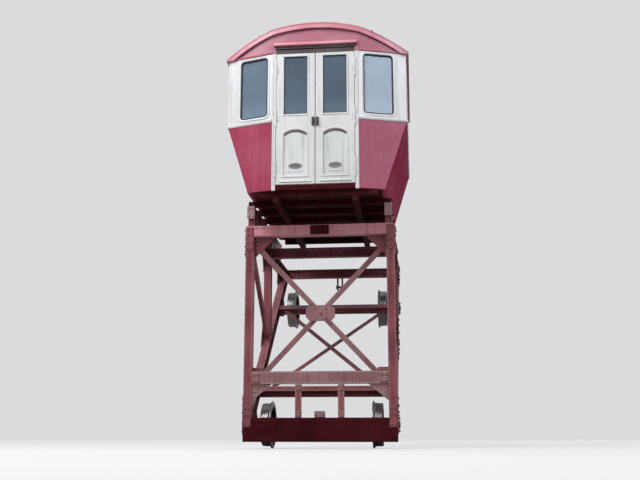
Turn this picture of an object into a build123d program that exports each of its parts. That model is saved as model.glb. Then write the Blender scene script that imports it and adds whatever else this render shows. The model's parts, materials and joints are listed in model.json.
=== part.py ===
from build123d import *
import os
from math import atan, cos, hypot, sin

# Funicular car: a hollow cabin with double doors at both ends, level on a
# wedge-shaped underframe that runs on two wheelsets on a steep straight track.
# Millimetres. X runs across the track, +Y uphill, +Z up. The origin lies on the
# track's centreline, at rail-top level under the lower axle.

# Track
track_gauge = 1524
track_rise = 0.78  # climb for each unit of level run

# Wheels and axles
wheelbase = 3300  # along the track
wheel_radius = 305
flange_height = 28
flange_width = 24
flange_root = 12
flange_play = 9
tread_width = 112
tread_fall = 5
rim_depth = 46
web_thickness = 32
hub_radius = 96
hub_length = 170
axle_radius = 52
journal_radius = 45
journal_clearance = 0.05
journal_end_play = 6

# Axle boxes, bolted under the sloping chords
box_half_length = 110
box_cap_thickness = 30

# Underframe, seen from the side
member_width = 120
post_centre = 1020
frame_reach = 660  # front of the frame, downhill of the origin
post_height = 2590
top_depth = 160
bottom_beam_height = 330
chord_height = 560  # chord's centreline above the rails, square to the track
chord_depth = 200
mid_post_y = 1000
mid_post_depth = 120
diagonal_depth = 90
diagonal_width = 60
diagonal_drop = 30
flange_plate = 16
web_plate = 14

# Underframe, seen from the front
dropper_height = 460
crossbar_height = 180
crossbar_depth = 60
dropper_spacing = 600
dropper_width = 90
dropper_depth = 40
brace_width = 84
brace_thickness = 14
brace_top_drop = 50
brace_foot_drop = 60  # below the crossbar's underside
gusset_thickness = 12
gusset_leg = 300
foot_gusset_width = 150
foot_gusset_drop = 100
centre_gusset_width = 420
centre_gusset_height = 230
centre_gusset_chamfer = 58
brace_packer_inset = 100
knee_width = 280
knee_height = 230
knee_thickness = 12
splice_width = 260
splice_thickness = 12
bracket_width = 150
bracket_height = 90

# Ties and bracing between the sloping chords
tie_depth = 120
tie_from_axle = 450
plan_brace_width = 90
plan_brace_thickness = 15

# Rope anchor under the uphill beam
lug_thickness = 25
lug_gap = 60
lug_length = 130
lug_hole_radius = 22
lug_pin_drop = 170

# Packing, bearers and floor
packing_height = 100
packing_length = 220
packing_count = 4
bearer_width = 100
bearer_height = 180
bearer_centre = 1000
bearer_front_reach = 60
bearer_back_inset = 80
joist_height = 80
joist_width = 80
joist_count = 7
joist_side_reach = 1045
joist_end_reach = 880
joist_inset = 100
floor_beam_centre = 560
floor_beam_width = 90
floor_beam_height = 80
floor_thickness = 60

# Cabin plan: flat door bay, bowed quarters, straight sides
cabin_overhang = 600
cabin_length = 3300
door_bay_half = 620
cabin_half_width = 1300
bow_set_back = 220
bottom_half_width = 970
wall = 40

# Cabin heights, each above the one before it
lower_body_height = 1035
upper_body_height = 1015
eaves_height = 60
roof_rise = 400

# Roof
roof_thickness = 30
roof_overhang = 40
rim_depth = 60
rim_thickness = 24
rim_round = 20
arc_tolerance = 2

# Doors
door_post_width = 54
door_gap = 6
leaf_meeting_gap = 10
threshold_height = 75
door_head_gap = 8
lintel_height = 80
lintel_recess = 12
leaf_stile = 105
leaf_glass_above_waist = 80
leaf_glass_below_head = 50
leaf_panel_above_sill = 125
leaf_panel_below_waist = 145
leaf_panel_crown = 60
leaf_panel_recess = 10
knuckle_radius = 9
knuckle_length = 90
knuckle_gap = 1
hinge_plate_reach = 42
hinge_plate_thickness = 5
hinge_from_leaf_end = 240
lock_width = 40
lock_height = 130
lock_depth = 16
lock_edge_margin = 6
lock_below_waist = 35
lock_round = 10
spindle_radius = 11
spindle_length = 22
lever_length = 96
lever_width = 16
lever_thickness = 10

# Windows
glass_thickness = 8
window_above_waist = 75
window_below_head = 45
window_corner = 50
side_window_count = 3
side_mullion = 90
corner_post_width = 130
corner_post_return = 140
end_window_in = 78  # from the door bay's corner, along the bowed wall
end_window_out = 66  # from the corner post, along the bowed wall

# Benches along both sides
bench_inner = 680
bench_support_inset = 40
bench_seat_height = 440
bench_seat_thickness = 45
bench_support_thickness = 40
bench_support_count = 3
bench_end_clearance = 260

# Derived places
slope_angle = atan(track_rise)
slope_cos = cos(slope_angle)
slope_sin = sin(slope_angle)
frame_front = -frame_reach
frame_back_of_post = frame_front + member_width
frame_outer = post_centre + member_width / 2
frame_inner = post_centre - member_width / 2
top_underside = bottom_beam_height + post_height
frame_top = top_underside + top_depth
crossbar_low = bottom_beam_height + dropper_height
brace_high = top_underside - brace_top_drop
brace_low = crossbar_low - brace_foot_drop
chord_low_offset = (chord_height - chord_depth / 2) / slope_cos
chord_high_offset = (chord_height + chord_depth / 2) / slope_cos
apex_back = (top_underside - chord_low_offset) / track_rise
apex_front = (top_underside - chord_high_offset) / track_rise
bearer_low = frame_top + packing_height
bearer_high = bearer_low + bearer_height
floor_low = bearer_high + joist_height
floor_high = floor_low + floor_thickness
waist_height = floor_low + lower_body_height
head_height = waist_height + upper_body_height
roof_apex = head_height + eaves_height + roof_rise
cabin_front = frame_front - cabin_overhang
cabin_back = cabin_front + cabin_length
cabin_mid = cabin_front + cabin_length / 2
bow_slope = bow_set_back / (cabin_half_width - door_bay_half)
bow_angle = atan(bow_slope)
bow_wall = wall / cos(bow_angle)
roof_radius = (cabin_half_width**2 + roof_rise**2) / (2 * roof_rise)
roof_centre = roof_apex - roof_radius
tub_slope = (cabin_half_width - bottom_half_width) / (waist_height - floor_low)
tub_wall = wall * hypot(1, tub_slope)
door_opening_half = door_bay_half - door_post_width
leaf_outer_edge = door_opening_half - door_gap
leaf_inner_edge = leaf_meeting_gap / 2
door_sill_height = floor_low + threshold_height
leaf_low = door_sill_height + door_head_gap
leaf_high = head_height - door_head_gap
leaf_glass_low = waist_height + leaf_glass_above_waist
leaf_glass_high = head_height - leaf_glass_below_head
leaf_panel_low = door_sill_height + leaf_panel_above_sill
leaf_panel_high = waist_height - leaf_panel_below_waist
hinge_low = leaf_low + hinge_from_leaf_end
hinge_high = leaf_high - hinge_from_leaf_end
hinge_heights = (hinge_low, (hinge_low + hinge_high) / 2, hinge_high)
window_low = waist_height + window_above_waist
window_high = head_height - window_below_head
hinge_x = door_opening_half - door_gap / 2
hinge_y = cabin_front - knuckle_radius

beyond = 4 * cabin_half_width  # longer than the cabin in every direction, for cutting through
across = Plane.YZ
slope_plane = Plane(origin=(0, 0, 0), x_dir=(0, slope_cos, slope_sin), z_dir=(1, 0, 0))
cabin_middle = Plane(origin=(0, cabin_mid, 0), x_dir=(1, 0, 0), z_dir=(0, 1, 0))
bow_plane = Plane(
    origin=(door_bay_half, cabin_front, 0),
    x_dir=(cos(bow_angle), sin(bow_angle), 0),
    z_dir=(sin(bow_angle), -cos(bow_angle), 0),
)


def on_slope(along, above):
    """Y and Z of a point given along the track and square above the rails."""
    return along * slope_cos - above * slope_sin, along * slope_sin + above * slope_cos


def facing_downhill(y):
    """Upright plane across the track at y: its own x is X, its own y is Z."""
    return Plane(origin=(0, y, 0), x_dir=(1, 0, 0), z_dir=(0, -1, 0))


def above_rails(above):
    """Plane parallel to the track: its own x is X, its own y runs along the track."""
    y, z = on_slope(0, above)
    return Plane(origin=(0, y, z), x_dir=(1, 0, 0), z_dir=(0, -slope_sin, slope_cos))


def bow_y(x):
    """Y of the cabin's outer downhill face at a distance x from the centreline."""
    return cabin_front + max(0, x - door_bay_half) * bow_slope


def tub_x(z):
    """Half width of the cabin's outer face below the waist at height z."""
    return cabin_half_width - (waist_height - z) * tub_slope


def rolled_section(width, depth):
    """Upright I section about its own middle: flanges above and below a web."""
    with BuildSketch() as section:
        Rectangle(width, depth)
        with Locations(((width + web_plate) / 4, 0), (-(width + web_plate) / 4, 0)):
            Rectangle((width - web_plate) / 2, depth - 2 * flange_plate, mode=Mode.SUBTRACT)
    return section.sketch


def write(piece, name):
    piece.part.label = name
    export_step(piece.part, f"parts/{name}.step")


os.makedirs("parts", exist_ok=True)

# Wheelsets: two flanged wheels pressed on an axle, journals outside the wheels
flange_back = track_gauge / 2 - flange_play - flange_width - flange_root
tread_out = flange_back + flange_width + flange_root + tread_width
wheel_mid = (flange_back + tread_out) / 2
web_in = wheel_mid - web_thickness / 2
web_out = wheel_mid + web_thickness / 2
hub_in = wheel_mid - hub_length / 2
hub_out = wheel_mid + hub_length / 2
rim_radius = wheel_radius - rim_depth
box_bore_end = frame_outer - box_cap_thickness

wheel_profile = [
    (hub_in, axle_radius),
    (hub_out, axle_radius),
    (hub_out, hub_radius),
    (web_out, hub_radius),
    (web_out, rim_radius),
    (tread_out, rim_radius),
    (tread_out, wheel_radius - tread_fall),
    (flange_back + flange_width + flange_root, wheel_radius),
    (flange_back + flange_width, wheel_radius + flange_height),
    (flange_back, wheel_radius + flange_height),
    (flange_back, rim_radius),
    (web_in, rim_radius),
    (web_in, hub_radius),
    (hub_in, hub_radius),
]

axle_profile = [
    (0, 0),
    (box_bore_end - journal_end_play, 0),
    (box_bore_end - journal_end_play, journal_radius),
    (hub_out, journal_radius),
    (hub_out, axle_radius),
    (0, axle_radius),
]

for place, along in (("lower", 0), ("upper", wheelbase)):
    axle_y, axle_z = on_slope(along, wheel_radius)
    axle_line = Axis((0, axle_y, axle_z), (1, 0, 0))
    axle_plane = Plane(origin=(0, axle_y, axle_z), x_dir=(1, 0, 0), z_dir=(0, -1, 0))

    with BuildPart() as wheels:
        with BuildSketch(axle_plane):
            with BuildLine():
                Polyline(*wheel_profile, close=True)
            make_face()
        revolve(axis=axle_line)
        mirror(about=Plane.YZ)
    write(wheels, f"wheels_{place}")

    with BuildPart() as axle:
        with BuildSketch(axle_plane):
            with BuildLine():
                Polyline(*axle_profile, close=True)
            make_face()
        revolve(axis=axle_line)
        mirror(about=Plane.YZ)
    write(axle, f"axle_{place}")

with BuildPart() as axle_boxes:
    for along in (0, wheelbase):
        with BuildSketch(slope_plane.offset(frame_inner)):
            with BuildLine():
                Polyline(
                    (along - box_half_length, wheel_radius),
                    (along - box_half_length, chord_height - chord_depth / 2),
                    (along + box_half_length, chord_height - chord_depth / 2),
                    (along + box_half_length, wheel_radius),
                )
                ThreePointArc(
                    (along + box_half_length, wheel_radius),
                    (along, wheel_radius - box_half_length),
                    (along - box_half_length, wheel_radius),
                )
            make_face()
        extrude(amount=member_width)
        with BuildSketch(slope_plane.offset(frame_inner)):
            with Locations((along, wheel_radius)):
                Circle(journal_radius + journal_clearance)
        extrude(amount=box_bore_end - frame_inner, mode=Mode.SUBTRACT)
    mirror(about=Plane.YZ)
write(axle_boxes, "axle_boxes")

# Front frame: bottom beam, posts, crossbar with droppers, top cross beam
with BuildPart() as bottom_beam:
    with Locations((0, frame_front, 0)):
        Box(2 * frame_outer, member_width, bottom_beam_height, align=(Align.CENTER, Align.MIN, Align.MIN))
    with BuildSketch(facing_downhill(frame_back_of_post)):
        with Locations((0, bottom_beam_height / 2)):
            Rectangle(2 * frame_inner, bottom_beam_height - 2 * flange_plate)
    extrude(amount=member_width - web_plate, mode=Mode.SUBTRACT)
write(bottom_beam, "bottom_beam")

with BuildPart() as stop_bracket:
    with BuildSketch(across.offset(-bracket_width / 2)):
        with BuildLine():
            Polyline(
                (frame_front, bottom_beam_height),
                (frame_front, bottom_beam_height + bracket_height),
                (frame_front + flange_plate, bottom_beam_height + bracket_height),
                (frame_front + bracket_height, bottom_beam_height),
                close=True,
            )
        make_face()
    extrude(amount=bracket_width)
write(stop_bracket, "stop_bracket")

with BuildPart() as front_posts:
    with Locations((post_centre, frame_front, bottom_beam_height)):
        Box(
            member_width,
            member_width,
            post_height,
            align=(Align.CENTER, Align.MIN, Align.MIN),
        )
    with Locations((frame_outer, frame_front + member_width / 2, bottom_beam_height + post_height / 2)):
        Box(
            member_width - web_plate,
            member_width - 2 * flange_plate,
            post_height - 2 * flange_plate,
            align=(Align.MAX, Align.CENTER, Align.CENTER),
            mode=Mode.SUBTRACT,
        )
    mirror(about=Plane.YZ)
write(front_posts, "front_posts")

with BuildPart() as lower_crossbar:
    with Locations((0, frame_front, crossbar_low)):
        Box(2 * frame_inner, crossbar_depth, crossbar_height, align=(Align.CENTER, Align.MIN, Align.MIN))
    with BuildSketch(facing_downhill(frame_front + crossbar_depth)):
        with Locations((0, crossbar_low + crossbar_height / 2)):
            Rectangle(2 * frame_inner, crossbar_height - 2 * flange_plate)
    extrude(amount=crossbar_depth - web_plate, mode=Mode.SUBTRACT)
write(lower_crossbar, "lower_crossbar")

with BuildPart() as knee_plates:
    with BuildSketch(facing_downhill(frame_front + (crossbar_depth + knee_thickness) / 2)):
        with BuildLine():
            Polyline(
                (frame_inner, crossbar_low),
                (frame_inner - knee_width, crossbar_low),
                (frame_inner, crossbar_low - knee_height),
                close=True,
            )
        make_face()
    extrude(amount=knee_thickness)
    mirror(about=Plane.YZ)
write(knee_plates, "knee_plates")

with BuildPart() as droppers:
    with Locations((dropper_spacing / 2, frame_front, bottom_beam_height)):
        Box(
            dropper_width,
            dropper_depth,
            dropper_height,
            align=(Align.CENTER, Align.MIN, Align.MIN),
        )
    mirror(about=Plane.YZ)
write(droppers, "droppers")

with BuildPart() as top_cross_beam:
    with Locations((0, frame_front, top_underside)):
        Box(2 * frame_outer, member_width, top_depth, align=(Align.CENTER, Align.MIN, Align.MIN))
    with BuildSketch(facing_downhill(frame_back_of_post)):
        with Locations((0, frame_top - top_depth / 2)):
            Rectangle(2 * frame_inner, top_depth - 2 * flange_plate)
    extrude(amount=member_width - web_plate, mode=Mode.SUBTRACT)
    with Locations((0, frame_front, frame_top - top_depth / 2)):
        Box(
            splice_width,
            splice_thickness,
            top_depth - 2 * flange_plate,
            align=(Align.CENTER, Align.MAX, Align.CENTER),
        )
write(top_cross_beam, "top_cross_beam")

# Front cross bracing: two flat bars from corner to corner, with gusset plates
brace_reach = brace_width / 2 * hypot(1, 2 * frame_inner / (brace_high - brace_low))
brace_fall = (brace_high - brace_low - 2 * brace_reach) / (2 * frame_inner)
packer_x = frame_inner - brace_packer_inset
packer_z = brace_high - brace_reach - brace_packer_inset * brace_fall
gusset_plane = facing_downhill(frame_back_of_post)

for name, turn, layer in (("front_brace_a", 1, 1), ("front_brace_b", -1, 2)):
    with BuildPart() as front_brace:
        with BuildSketch(facing_downhill(frame_back_of_post + layer * brace_thickness)):
            with BuildLine():
                Polyline(
                    (-turn * frame_inner, brace_high),
                    (-turn * frame_inner, brace_high - 2 * brace_reach),
                    (turn * frame_inner, brace_low),
                    (turn * frame_inner, brace_low + 2 * brace_reach),
                    close=True,
                )
            make_face()
        extrude(amount=brace_thickness)
    write(front_brace, name)

with BuildPart() as brace_gussets:
    with BuildSketch(gusset_plane):
        with BuildLine():
            Polyline(
                (frame_inner, top_underside),
                (frame_inner - gusset_leg, top_underside),
                (frame_inner, top_underside - gusset_leg),
                close=True,
            )
        make_face()
        with BuildLine():
            Polyline(
                (frame_inner, brace_low - foot_gusset_drop),
                (frame_inner, brace_low + gusset_leg),
                (frame_inner - foot_gusset_width, brace_low + gusset_leg),
                (frame_inner - foot_gusset_width, brace_low),
                close=True,
            )
        make_face()
    extrude(amount=gusset_thickness)
    mirror(about=Plane.YZ)
    with BuildSketch(gusset_plane):
        with Locations((0, (brace_high + brace_low) / 2)):
            Rectangle(centre_gusset_width, centre_gusset_height)
        chamfer(vertices(), centre_gusset_chamfer)
    extrude(amount=gusset_thickness)
    with BuildSketch(facing_downhill(frame_back_of_post + brace_thickness)):
        with Locations((packer_x, packer_z), (-packer_x, brace_high + brace_low - packer_z)):
            Circle(brace_width / 2)
    extrude(amount=brace_thickness)
write(brace_gussets, "brace_gussets")

# Side frames: level top chords, sloping bottom chords, middle posts, diagonals
side_plane = across.offset(frame_inner)
mid_post_front = mid_post_y - mid_post_depth / 2
mid_post_back = mid_post_y + mid_post_depth / 2

side_member_outlines = {
    "top_chords": [
        (frame_back_of_post, frame_top),
        (frame_back_of_post, top_underside),
        (apex_back, top_underside),
        (apex_back, frame_top),
    ],
    "bottom_chords": [
        (frame_back_of_post, frame_back_of_post * track_rise + chord_low_offset),
        (apex_back, top_underside),
        (apex_front, top_underside),
        (frame_back_of_post, frame_back_of_post * track_rise + chord_high_offset),
    ],
    "mid_posts": [
        (mid_post_front, mid_post_front * track_rise + chord_high_offset),
        (mid_post_back, mid_post_back * track_rise + chord_high_offset),
        (mid_post_back, top_underside),
        (mid_post_front, top_underside),
    ],
}

# Each side member is an outline with a pocket on both sides of its web
for name, outline in side_member_outlines.items():
    with BuildPart() as side_member:
        with BuildSketch(side_plane):
            with BuildLine():
                Polyline(*outline, close=True)
            make_face()
        extrude(amount=member_width)
        with BuildSketch(side_plane, across.offset(post_centre + web_plate / 2)):
            with BuildLine():
                Polyline(*outline, close=True)
            make_face()
            offset(amount=-flange_plate, kind=Kind.INTERSECTION)
        extrude(amount=(member_width - web_plate) / 2, mode=Mode.SUBTRACT)
        mirror(about=Plane.YZ)
    write(side_member, name)

diagonal_top = top_underside - diagonal_drop
diagonal_foot = mid_post_front * track_rise + chord_high_offset + diagonal_drop
diagonal_run = mid_post_front - frame_back_of_post
diagonal_fall = diagonal_top - diagonal_foot
diagonal_upright = diagonal_depth * hypot(1, diagonal_fall / diagonal_run)

with BuildPart() as side_diagonals:
    with BuildSketch(across.offset(post_centre - diagonal_width / 2)):
        with BuildLine():
            Polyline(
                (frame_back_of_post, diagonal_top),
                (frame_back_of_post, diagonal_top - diagonal_upright),
                (mid_post_front, diagonal_foot),
                (mid_post_front, diagonal_foot + diagonal_upright),
                close=True,
            )
        make_face()
    extrude(amount=diagonal_width)
    mirror(about=Plane.YZ)
write(side_diagonals, "side_diagonals")

# Cross members between the side frames
beam_middle = top_underside + top_depth / 2
web_face = post_centre - web_plate / 2

with BuildPart() as mid_cross_beam:
    with BuildSketch(across):
        with Locations((mid_post_y, beam_middle)):
            add(rolled_section(mid_post_depth, top_depth))
    extrude(amount=frame_inner, both=True)
write(mid_cross_beam, "mid_cross_beam")

with BuildPart() as apex_beam:
    with BuildSketch(across):
        with Locations((apex_back - member_width / 2, beam_middle)):
            add(rolled_section(member_width, top_depth))
    extrude(amount=frame_inner, both=True)
write(apex_beam, "apex_beam")

tie_places = (tie_from_axle, wheelbase - tie_from_axle)

with BuildPart() as chord_ties:
    with BuildSketch(slope_plane):
        with Locations(*[(along, chord_height) for along in tie_places]):
            add(rolled_section(tie_depth, tie_depth))
    extrude(amount=web_face, both=True)
write(chord_ties, "chord_ties")

plan_low = tie_places[0] + web_plate / 2
plan_high = tie_places[1] - web_plate / 2
plan_half = frame_inner - plan_brace_width

for name, turn, layer in (("plan_brace_a", 1, -1), ("plan_brace_b", -1, 0)):
    with BuildPart() as plan_brace:
        with BuildSketch(above_rails(chord_height + layer * plan_brace_thickness)):
            with BuildLine():
                Polyline(
                    (-turn * plan_half - plan_brace_width / 2, plan_low),
                    (-turn * plan_half + plan_brace_width / 2, plan_low),
                    (turn * plan_half + plan_brace_width / 2, plan_high),
                    (turn * plan_half - plan_brace_width / 2, plan_high),
                    close=True,
                )
            make_face()
        extrude(amount=plan_brace_thickness)
    write(plan_brace, name)

# Rope anchor: two lugs with a pin hole, under the uphill beam
lug_y = apex_back - member_width / 2
lug_pin_height = top_underside - lug_pin_drop

with BuildPart() as rope_anchor:
    with BuildSketch(across.offset(lug_gap / 2)):
        with BuildLine():
            Polyline(
                (lug_y - lug_length / 2, lug_pin_height),
                (lug_y - lug_length / 2, top_underside),
                (lug_y + lug_length / 2, top_underside),
                (lug_y + lug_length / 2, lug_pin_height),
            )
            ThreePointArc(
                (lug_y + lug_length / 2, lug_pin_height),
                (lug_y, lug_pin_height - lug_length / 2),
                (lug_y - lug_length / 2, lug_pin_height),
            )
        make_face()
        with Locations((lug_y, lug_pin_height)):
            Circle(lug_hole_radius, mode=Mode.SUBTRACT)
    extrude(amount=lug_thickness)
    mirror(about=Plane.YZ)
write(rope_anchor, "rope_anchor")

# Packing blocks and bearers on the top chords
bearer_front = frame_front - bearer_front_reach
bearer_back = cabin_back - bearer_back_inset
packing_first = frame_front + packing_length / 2
packing_last = bearer_back - packing_length / 2
packing_step = (packing_last - packing_first) / (packing_count - 1)

with BuildPart() as packing_blocks:
    for index in range(packing_count):
        with Locations((bearer_centre, packing_first + index * packing_step, frame_top)):
            Box(
                bearer_width,
                packing_length,
                packing_height,
                align=(Align.CENTER, Align.CENTER, Align.MIN),
            )
    mirror(about=Plane.YZ)
write(packing_blocks, "packing_blocks")

with BuildPart() as bearers:
    with Locations((bearer_centre, bearer_front, bearer_low)):
        Box(
            bearer_width,
            bearer_back - bearer_front,
            bearer_height,
            align=(Align.CENTER, Align.MIN, Align.MIN),
        )
    mirror(about=Plane.YZ)
write(bearers, "bearers")

# Floor: cross joists on the bearers, two long beams under the joists, a deck
joist_step = (cabin_length - 2 * joist_inset) / (joist_count - 1)

with BuildPart() as cross_joists:
    for index in range(joist_count):
        at_end = index in (0, joist_count - 1)
        joist_reach = joist_end_reach if at_end else joist_side_reach
        with Locations((0, cabin_front + joist_inset + index * joist_step, bearer_high)):
            Box(
                2 * joist_reach,
                joist_width,
                joist_height,
                align=(Align.CENTER, Align.CENTER, Align.MIN),
            )
write(cross_joists, "cross_joists")

with BuildPart() as floor_beams:
    with Locations((floor_beam_centre, cabin_mid, bearer_high)):
        Box(
            floor_beam_width,
            cabin_length - 2 * joist_inset + joist_width,
            floor_beam_height,
            align=(Align.CENTER, Align.CENTER, Align.MAX),
        )
    mirror(about=Plane.YZ)
write(floor_beams, "floor_beams")

inner_half_width = cabin_half_width - wall
plan_corner = bow_y(cabin_half_width) + bow_wall

with BuildPart() as floor_deck:
    with BuildSketch(Plane.XY.offset(floor_low)):
        with BuildLine():
            Polyline(
                (0, cabin_front + bow_wall),
                (door_bay_half, cabin_front + bow_wall),
                (cabin_half_width, plan_corner),
                (cabin_half_width, cabin_mid),
                (0, cabin_mid),
                close=True,
            )
        make_face()
        mirror(about=Plane.YZ)
    extrude(amount=floor_thickness)
    mirror(about=cabin_middle)
    with BuildSketch(facing_downhill(cabin_mid)):
        with BuildLine():
            Polyline(
                (tub_x(floor_low) - tub_wall, floor_low),
                (tub_x(floor_high) - tub_wall, floor_high),
                (tub_wall - tub_x(floor_high), floor_high),
                (tub_wall - tub_x(floor_low), floor_low),
                close=True,
            )
        make_face()
    extrude(amount=cabin_length, both=True, mode=Mode.INTERSECT)
write(floor_deck, "floor_deck")

with BuildPart() as thresholds:
    with Locations((0, cabin_front, floor_low)):
        Box(
            2 * door_opening_half,
            bow_wall,
            threshold_height,
            align=(Align.CENTER, Align.MIN, Align.MIN),
        )
    mirror(about=cabin_middle)
write(thresholds, "thresholds")

# Lower body: leaning side panels and bowed end panels
with BuildPart() as side_panels:
    with BuildSketch(facing_downhill(cabin_mid)):
        with BuildLine():
            Polyline(
                (tub_x(floor_low), floor_low),
                (cabin_half_width, waist_height),
                (cabin_half_width - tub_wall, waist_height),
                (tub_x(floor_low) - tub_wall, floor_low),
                close=True,
            )
        make_face()
    extrude(amount=cabin_length, both=True)
    with BuildSketch(Plane.XY.offset(floor_low)):
        with BuildLine():
            Polyline(
                (door_bay_half, cabin_front + bow_wall),
                (cabin_half_width, plan_corner),
                (cabin_half_width, 2 * cabin_mid - plan_corner),
                (door_bay_half, cabin_back - bow_wall),
                close=True,
            )
        make_face()
    extrude(amount=waist_height - floor_low, mode=Mode.INTERSECT)
    mirror(about=Plane.YZ)
write(side_panels, "side_panels")

with BuildPart() as end_panels:
    with BuildSketch(Plane.XY.offset(floor_low)):
        with BuildLine():
            Polyline(
                (door_bay_half, cabin_front),
                (cabin_half_width, bow_y(cabin_half_width)),
                (cabin_half_width, plan_corner),
                (door_bay_half, cabin_front + bow_wall),
                close=True,
            )
        make_face()
    extrude(amount=waist_height - floor_low)
    with BuildSketch(facing_downhill(cabin_front)):
        with BuildLine():
            Polyline(
                (0, floor_low),
                (tub_x(floor_low), floor_low),
                (cabin_half_width, waist_height),
                (0, waist_height),
                close=True,
            )
        make_face()
    extrude(amount=cabin_length, both=True, mode=Mode.INTERSECT)
    mirror(about=Plane.YZ)
    mirror(about=cabin_middle)
write(end_panels, "end_panels")

# Upper body: corner posts, side frames and bowed end frames with windows cut
post_bow_start = cabin_half_width - corner_post_width
upper_height = head_height - waist_height
side_frame_start = bow_y(cabin_half_width) + corner_post_return
side_frame_length = 2 * (cabin_mid - side_frame_start)

with BuildPart() as corner_posts:
    with BuildSketch(Plane.XY.offset(waist_height)):
        with BuildLine():
            Polyline(
                (post_bow_start, bow_y(post_bow_start)),
                (cabin_half_width, bow_y(cabin_half_width)),
                (cabin_half_width, side_frame_start),
                (inner_half_width, side_frame_start),
                (inner_half_width, bow_y(inner_half_width) + bow_wall),
                (post_bow_start, bow_y(post_bow_start) + bow_wall),
                close=True,
            )
        make_face()
    extrude(amount=upper_height)
    mirror(about=Plane.YZ)
    mirror(about=cabin_middle)
write(corner_posts, "corner_posts")

window_height = window_high - window_low
window_mid = (window_high + window_low) / 2
side_window_width = (side_frame_length - (side_window_count + 1) * side_mullion) / side_window_count
side_window_step = side_window_width + side_mullion
side_window_places = [
    (cabin_mid + (index - (side_window_count - 1) / 2) * side_window_step, window_mid)
    for index in range(side_window_count)
]

with BuildPart() as side_frames:
    with BuildSketch(across.offset(inner_half_width)):
        with Locations((cabin_mid, waist_height + upper_height / 2)):
            Rectangle(side_frame_length, upper_height)
        with Locations(*side_window_places):
            RectangleRounded(side_window_width, window_height, window_corner, mode=Mode.SUBTRACT)
    extrude(amount=wall)
    mirror(about=Plane.YZ)
write(side_frames, "side_frames")

with BuildPart() as side_glass:
    with BuildSketch(across.offset(cabin_half_width - wall / 2 - glass_thickness / 2)):
        with Locations(*side_window_places):
            RectangleRounded(side_window_width, window_height, window_corner)
    extrude(amount=glass_thickness)
    mirror(about=Plane.YZ)
write(side_glass, "side_glass")

bow_run = (post_bow_start - door_bay_half) / cos(bow_angle)
end_window_width = bow_run - end_window_in - end_window_out
end_window_place = (end_window_in + end_window_width / 2, window_mid)

with BuildPart() as end_frames:
    with BuildSketch(Plane.XY.offset(waist_height)):
        with BuildLine():
            Polyline(
                (door_bay_half, cabin_front),
                (post_bow_start, bow_y(post_bow_start)),
                (post_bow_start, bow_y(post_bow_start) + bow_wall),
                (door_bay_half, cabin_front + bow_wall),
                close=True,
            )
        make_face()
    extrude(amount=upper_height)
    with BuildSketch(bow_plane):
        with Locations(end_window_place):
            RectangleRounded(end_window_width, window_height, window_corner)
    extrude(amount=2 * wall, both=True, mode=Mode.SUBTRACT)
    mirror(about=Plane.YZ)
    mirror(about=cabin_middle)
write(end_frames, "end_frames")

with BuildPart() as end_glass:
    with BuildSketch(bow_plane.offset(glass_thickness / 2 - wall / 2)):
        with Locations(end_window_place):
            RectangleRounded(end_window_width, window_height, window_corner)
    extrude(amount=-glass_thickness)
    mirror(about=Plane.YZ)
    mirror(about=cabin_middle)
write(end_glass, "end_glass")

# Roof with its hanging rim, end fascias below its arch, side cantrails
cabin_plan = [
    (door_bay_half, cabin_front),
    (cabin_half_width, bow_y(cabin_half_width)),
    (cabin_half_width, 2 * cabin_mid - bow_y(cabin_half_width)),
    (door_bay_half, cabin_back),
    (-door_bay_half, cabin_back),
    (-cabin_half_width, 2 * cabin_mid - bow_y(cabin_half_width)),
    (-cabin_half_width, bow_y(cabin_half_width)),
    (-door_bay_half, cabin_front),
]

with BuildPart() as end_fascias:
    with BuildSketch(Plane.XY.offset(head_height)):
        with BuildLine():
            Polyline(
                (0, cabin_front),
                (door_bay_half, cabin_front),
                (cabin_half_width, bow_y(cabin_half_width)),
                (cabin_half_width, plan_corner),
                (door_bay_half, cabin_front + bow_wall),
                (0, cabin_front + bow_wall),
                close=True,
            )
        make_face()
        mirror(about=Plane.YZ)
    extrude(amount=roof_apex - head_height)
    with BuildSketch(facing_downhill(cabin_mid)):
        with Locations((0, roof_centre)):
            Circle(roof_radius - roof_thickness)
    extrude(amount=cabin_length, both=True, mode=Mode.INTERSECT)
    with Locations((0, cabin_front, head_height)):
        Box(
            2 * door_opening_half,
            beyond,
            lintel_height,
            align=(Align.CENTER, Align.CENTER, Align.MIN),
            mode=Mode.SUBTRACT,
        )
    mirror(about=cabin_middle)
write(end_fascias, "end_fascias")

with BuildPart() as lintels:
    with Locations((0, cabin_front + lintel_recess, head_height)):
        Box(
            2 * door_opening_half,
            bow_wall - lintel_recess,
            lintel_height,
            align=(Align.CENTER, Align.MIN, Align.MIN),
        )
    mirror(about=cabin_middle)
write(lintels, "lintels")

with BuildPart() as cantrails:
    with BuildSketch(facing_downhill(cabin_mid)):
        with Locations((0, roof_centre)):
            Circle(roof_radius - roof_thickness)
        with Locations((0, head_height)):
            Rectangle(
                2 * cabin_half_width,
                roof_apex - head_height,
                align=(Align.CENTER, Align.MIN),
                mode=Mode.INTERSECT,
            )
        with Locations((0, head_height)):
            Rectangle(
                2 * inner_half_width,
                roof_apex - head_height,
                align=(Align.CENTER, Align.MIN),
                mode=Mode.SUBTRACT,
            )
    extrude(amount=cabin_mid - plan_corner, both=True)
write(cantrails, "cantrails")

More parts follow.
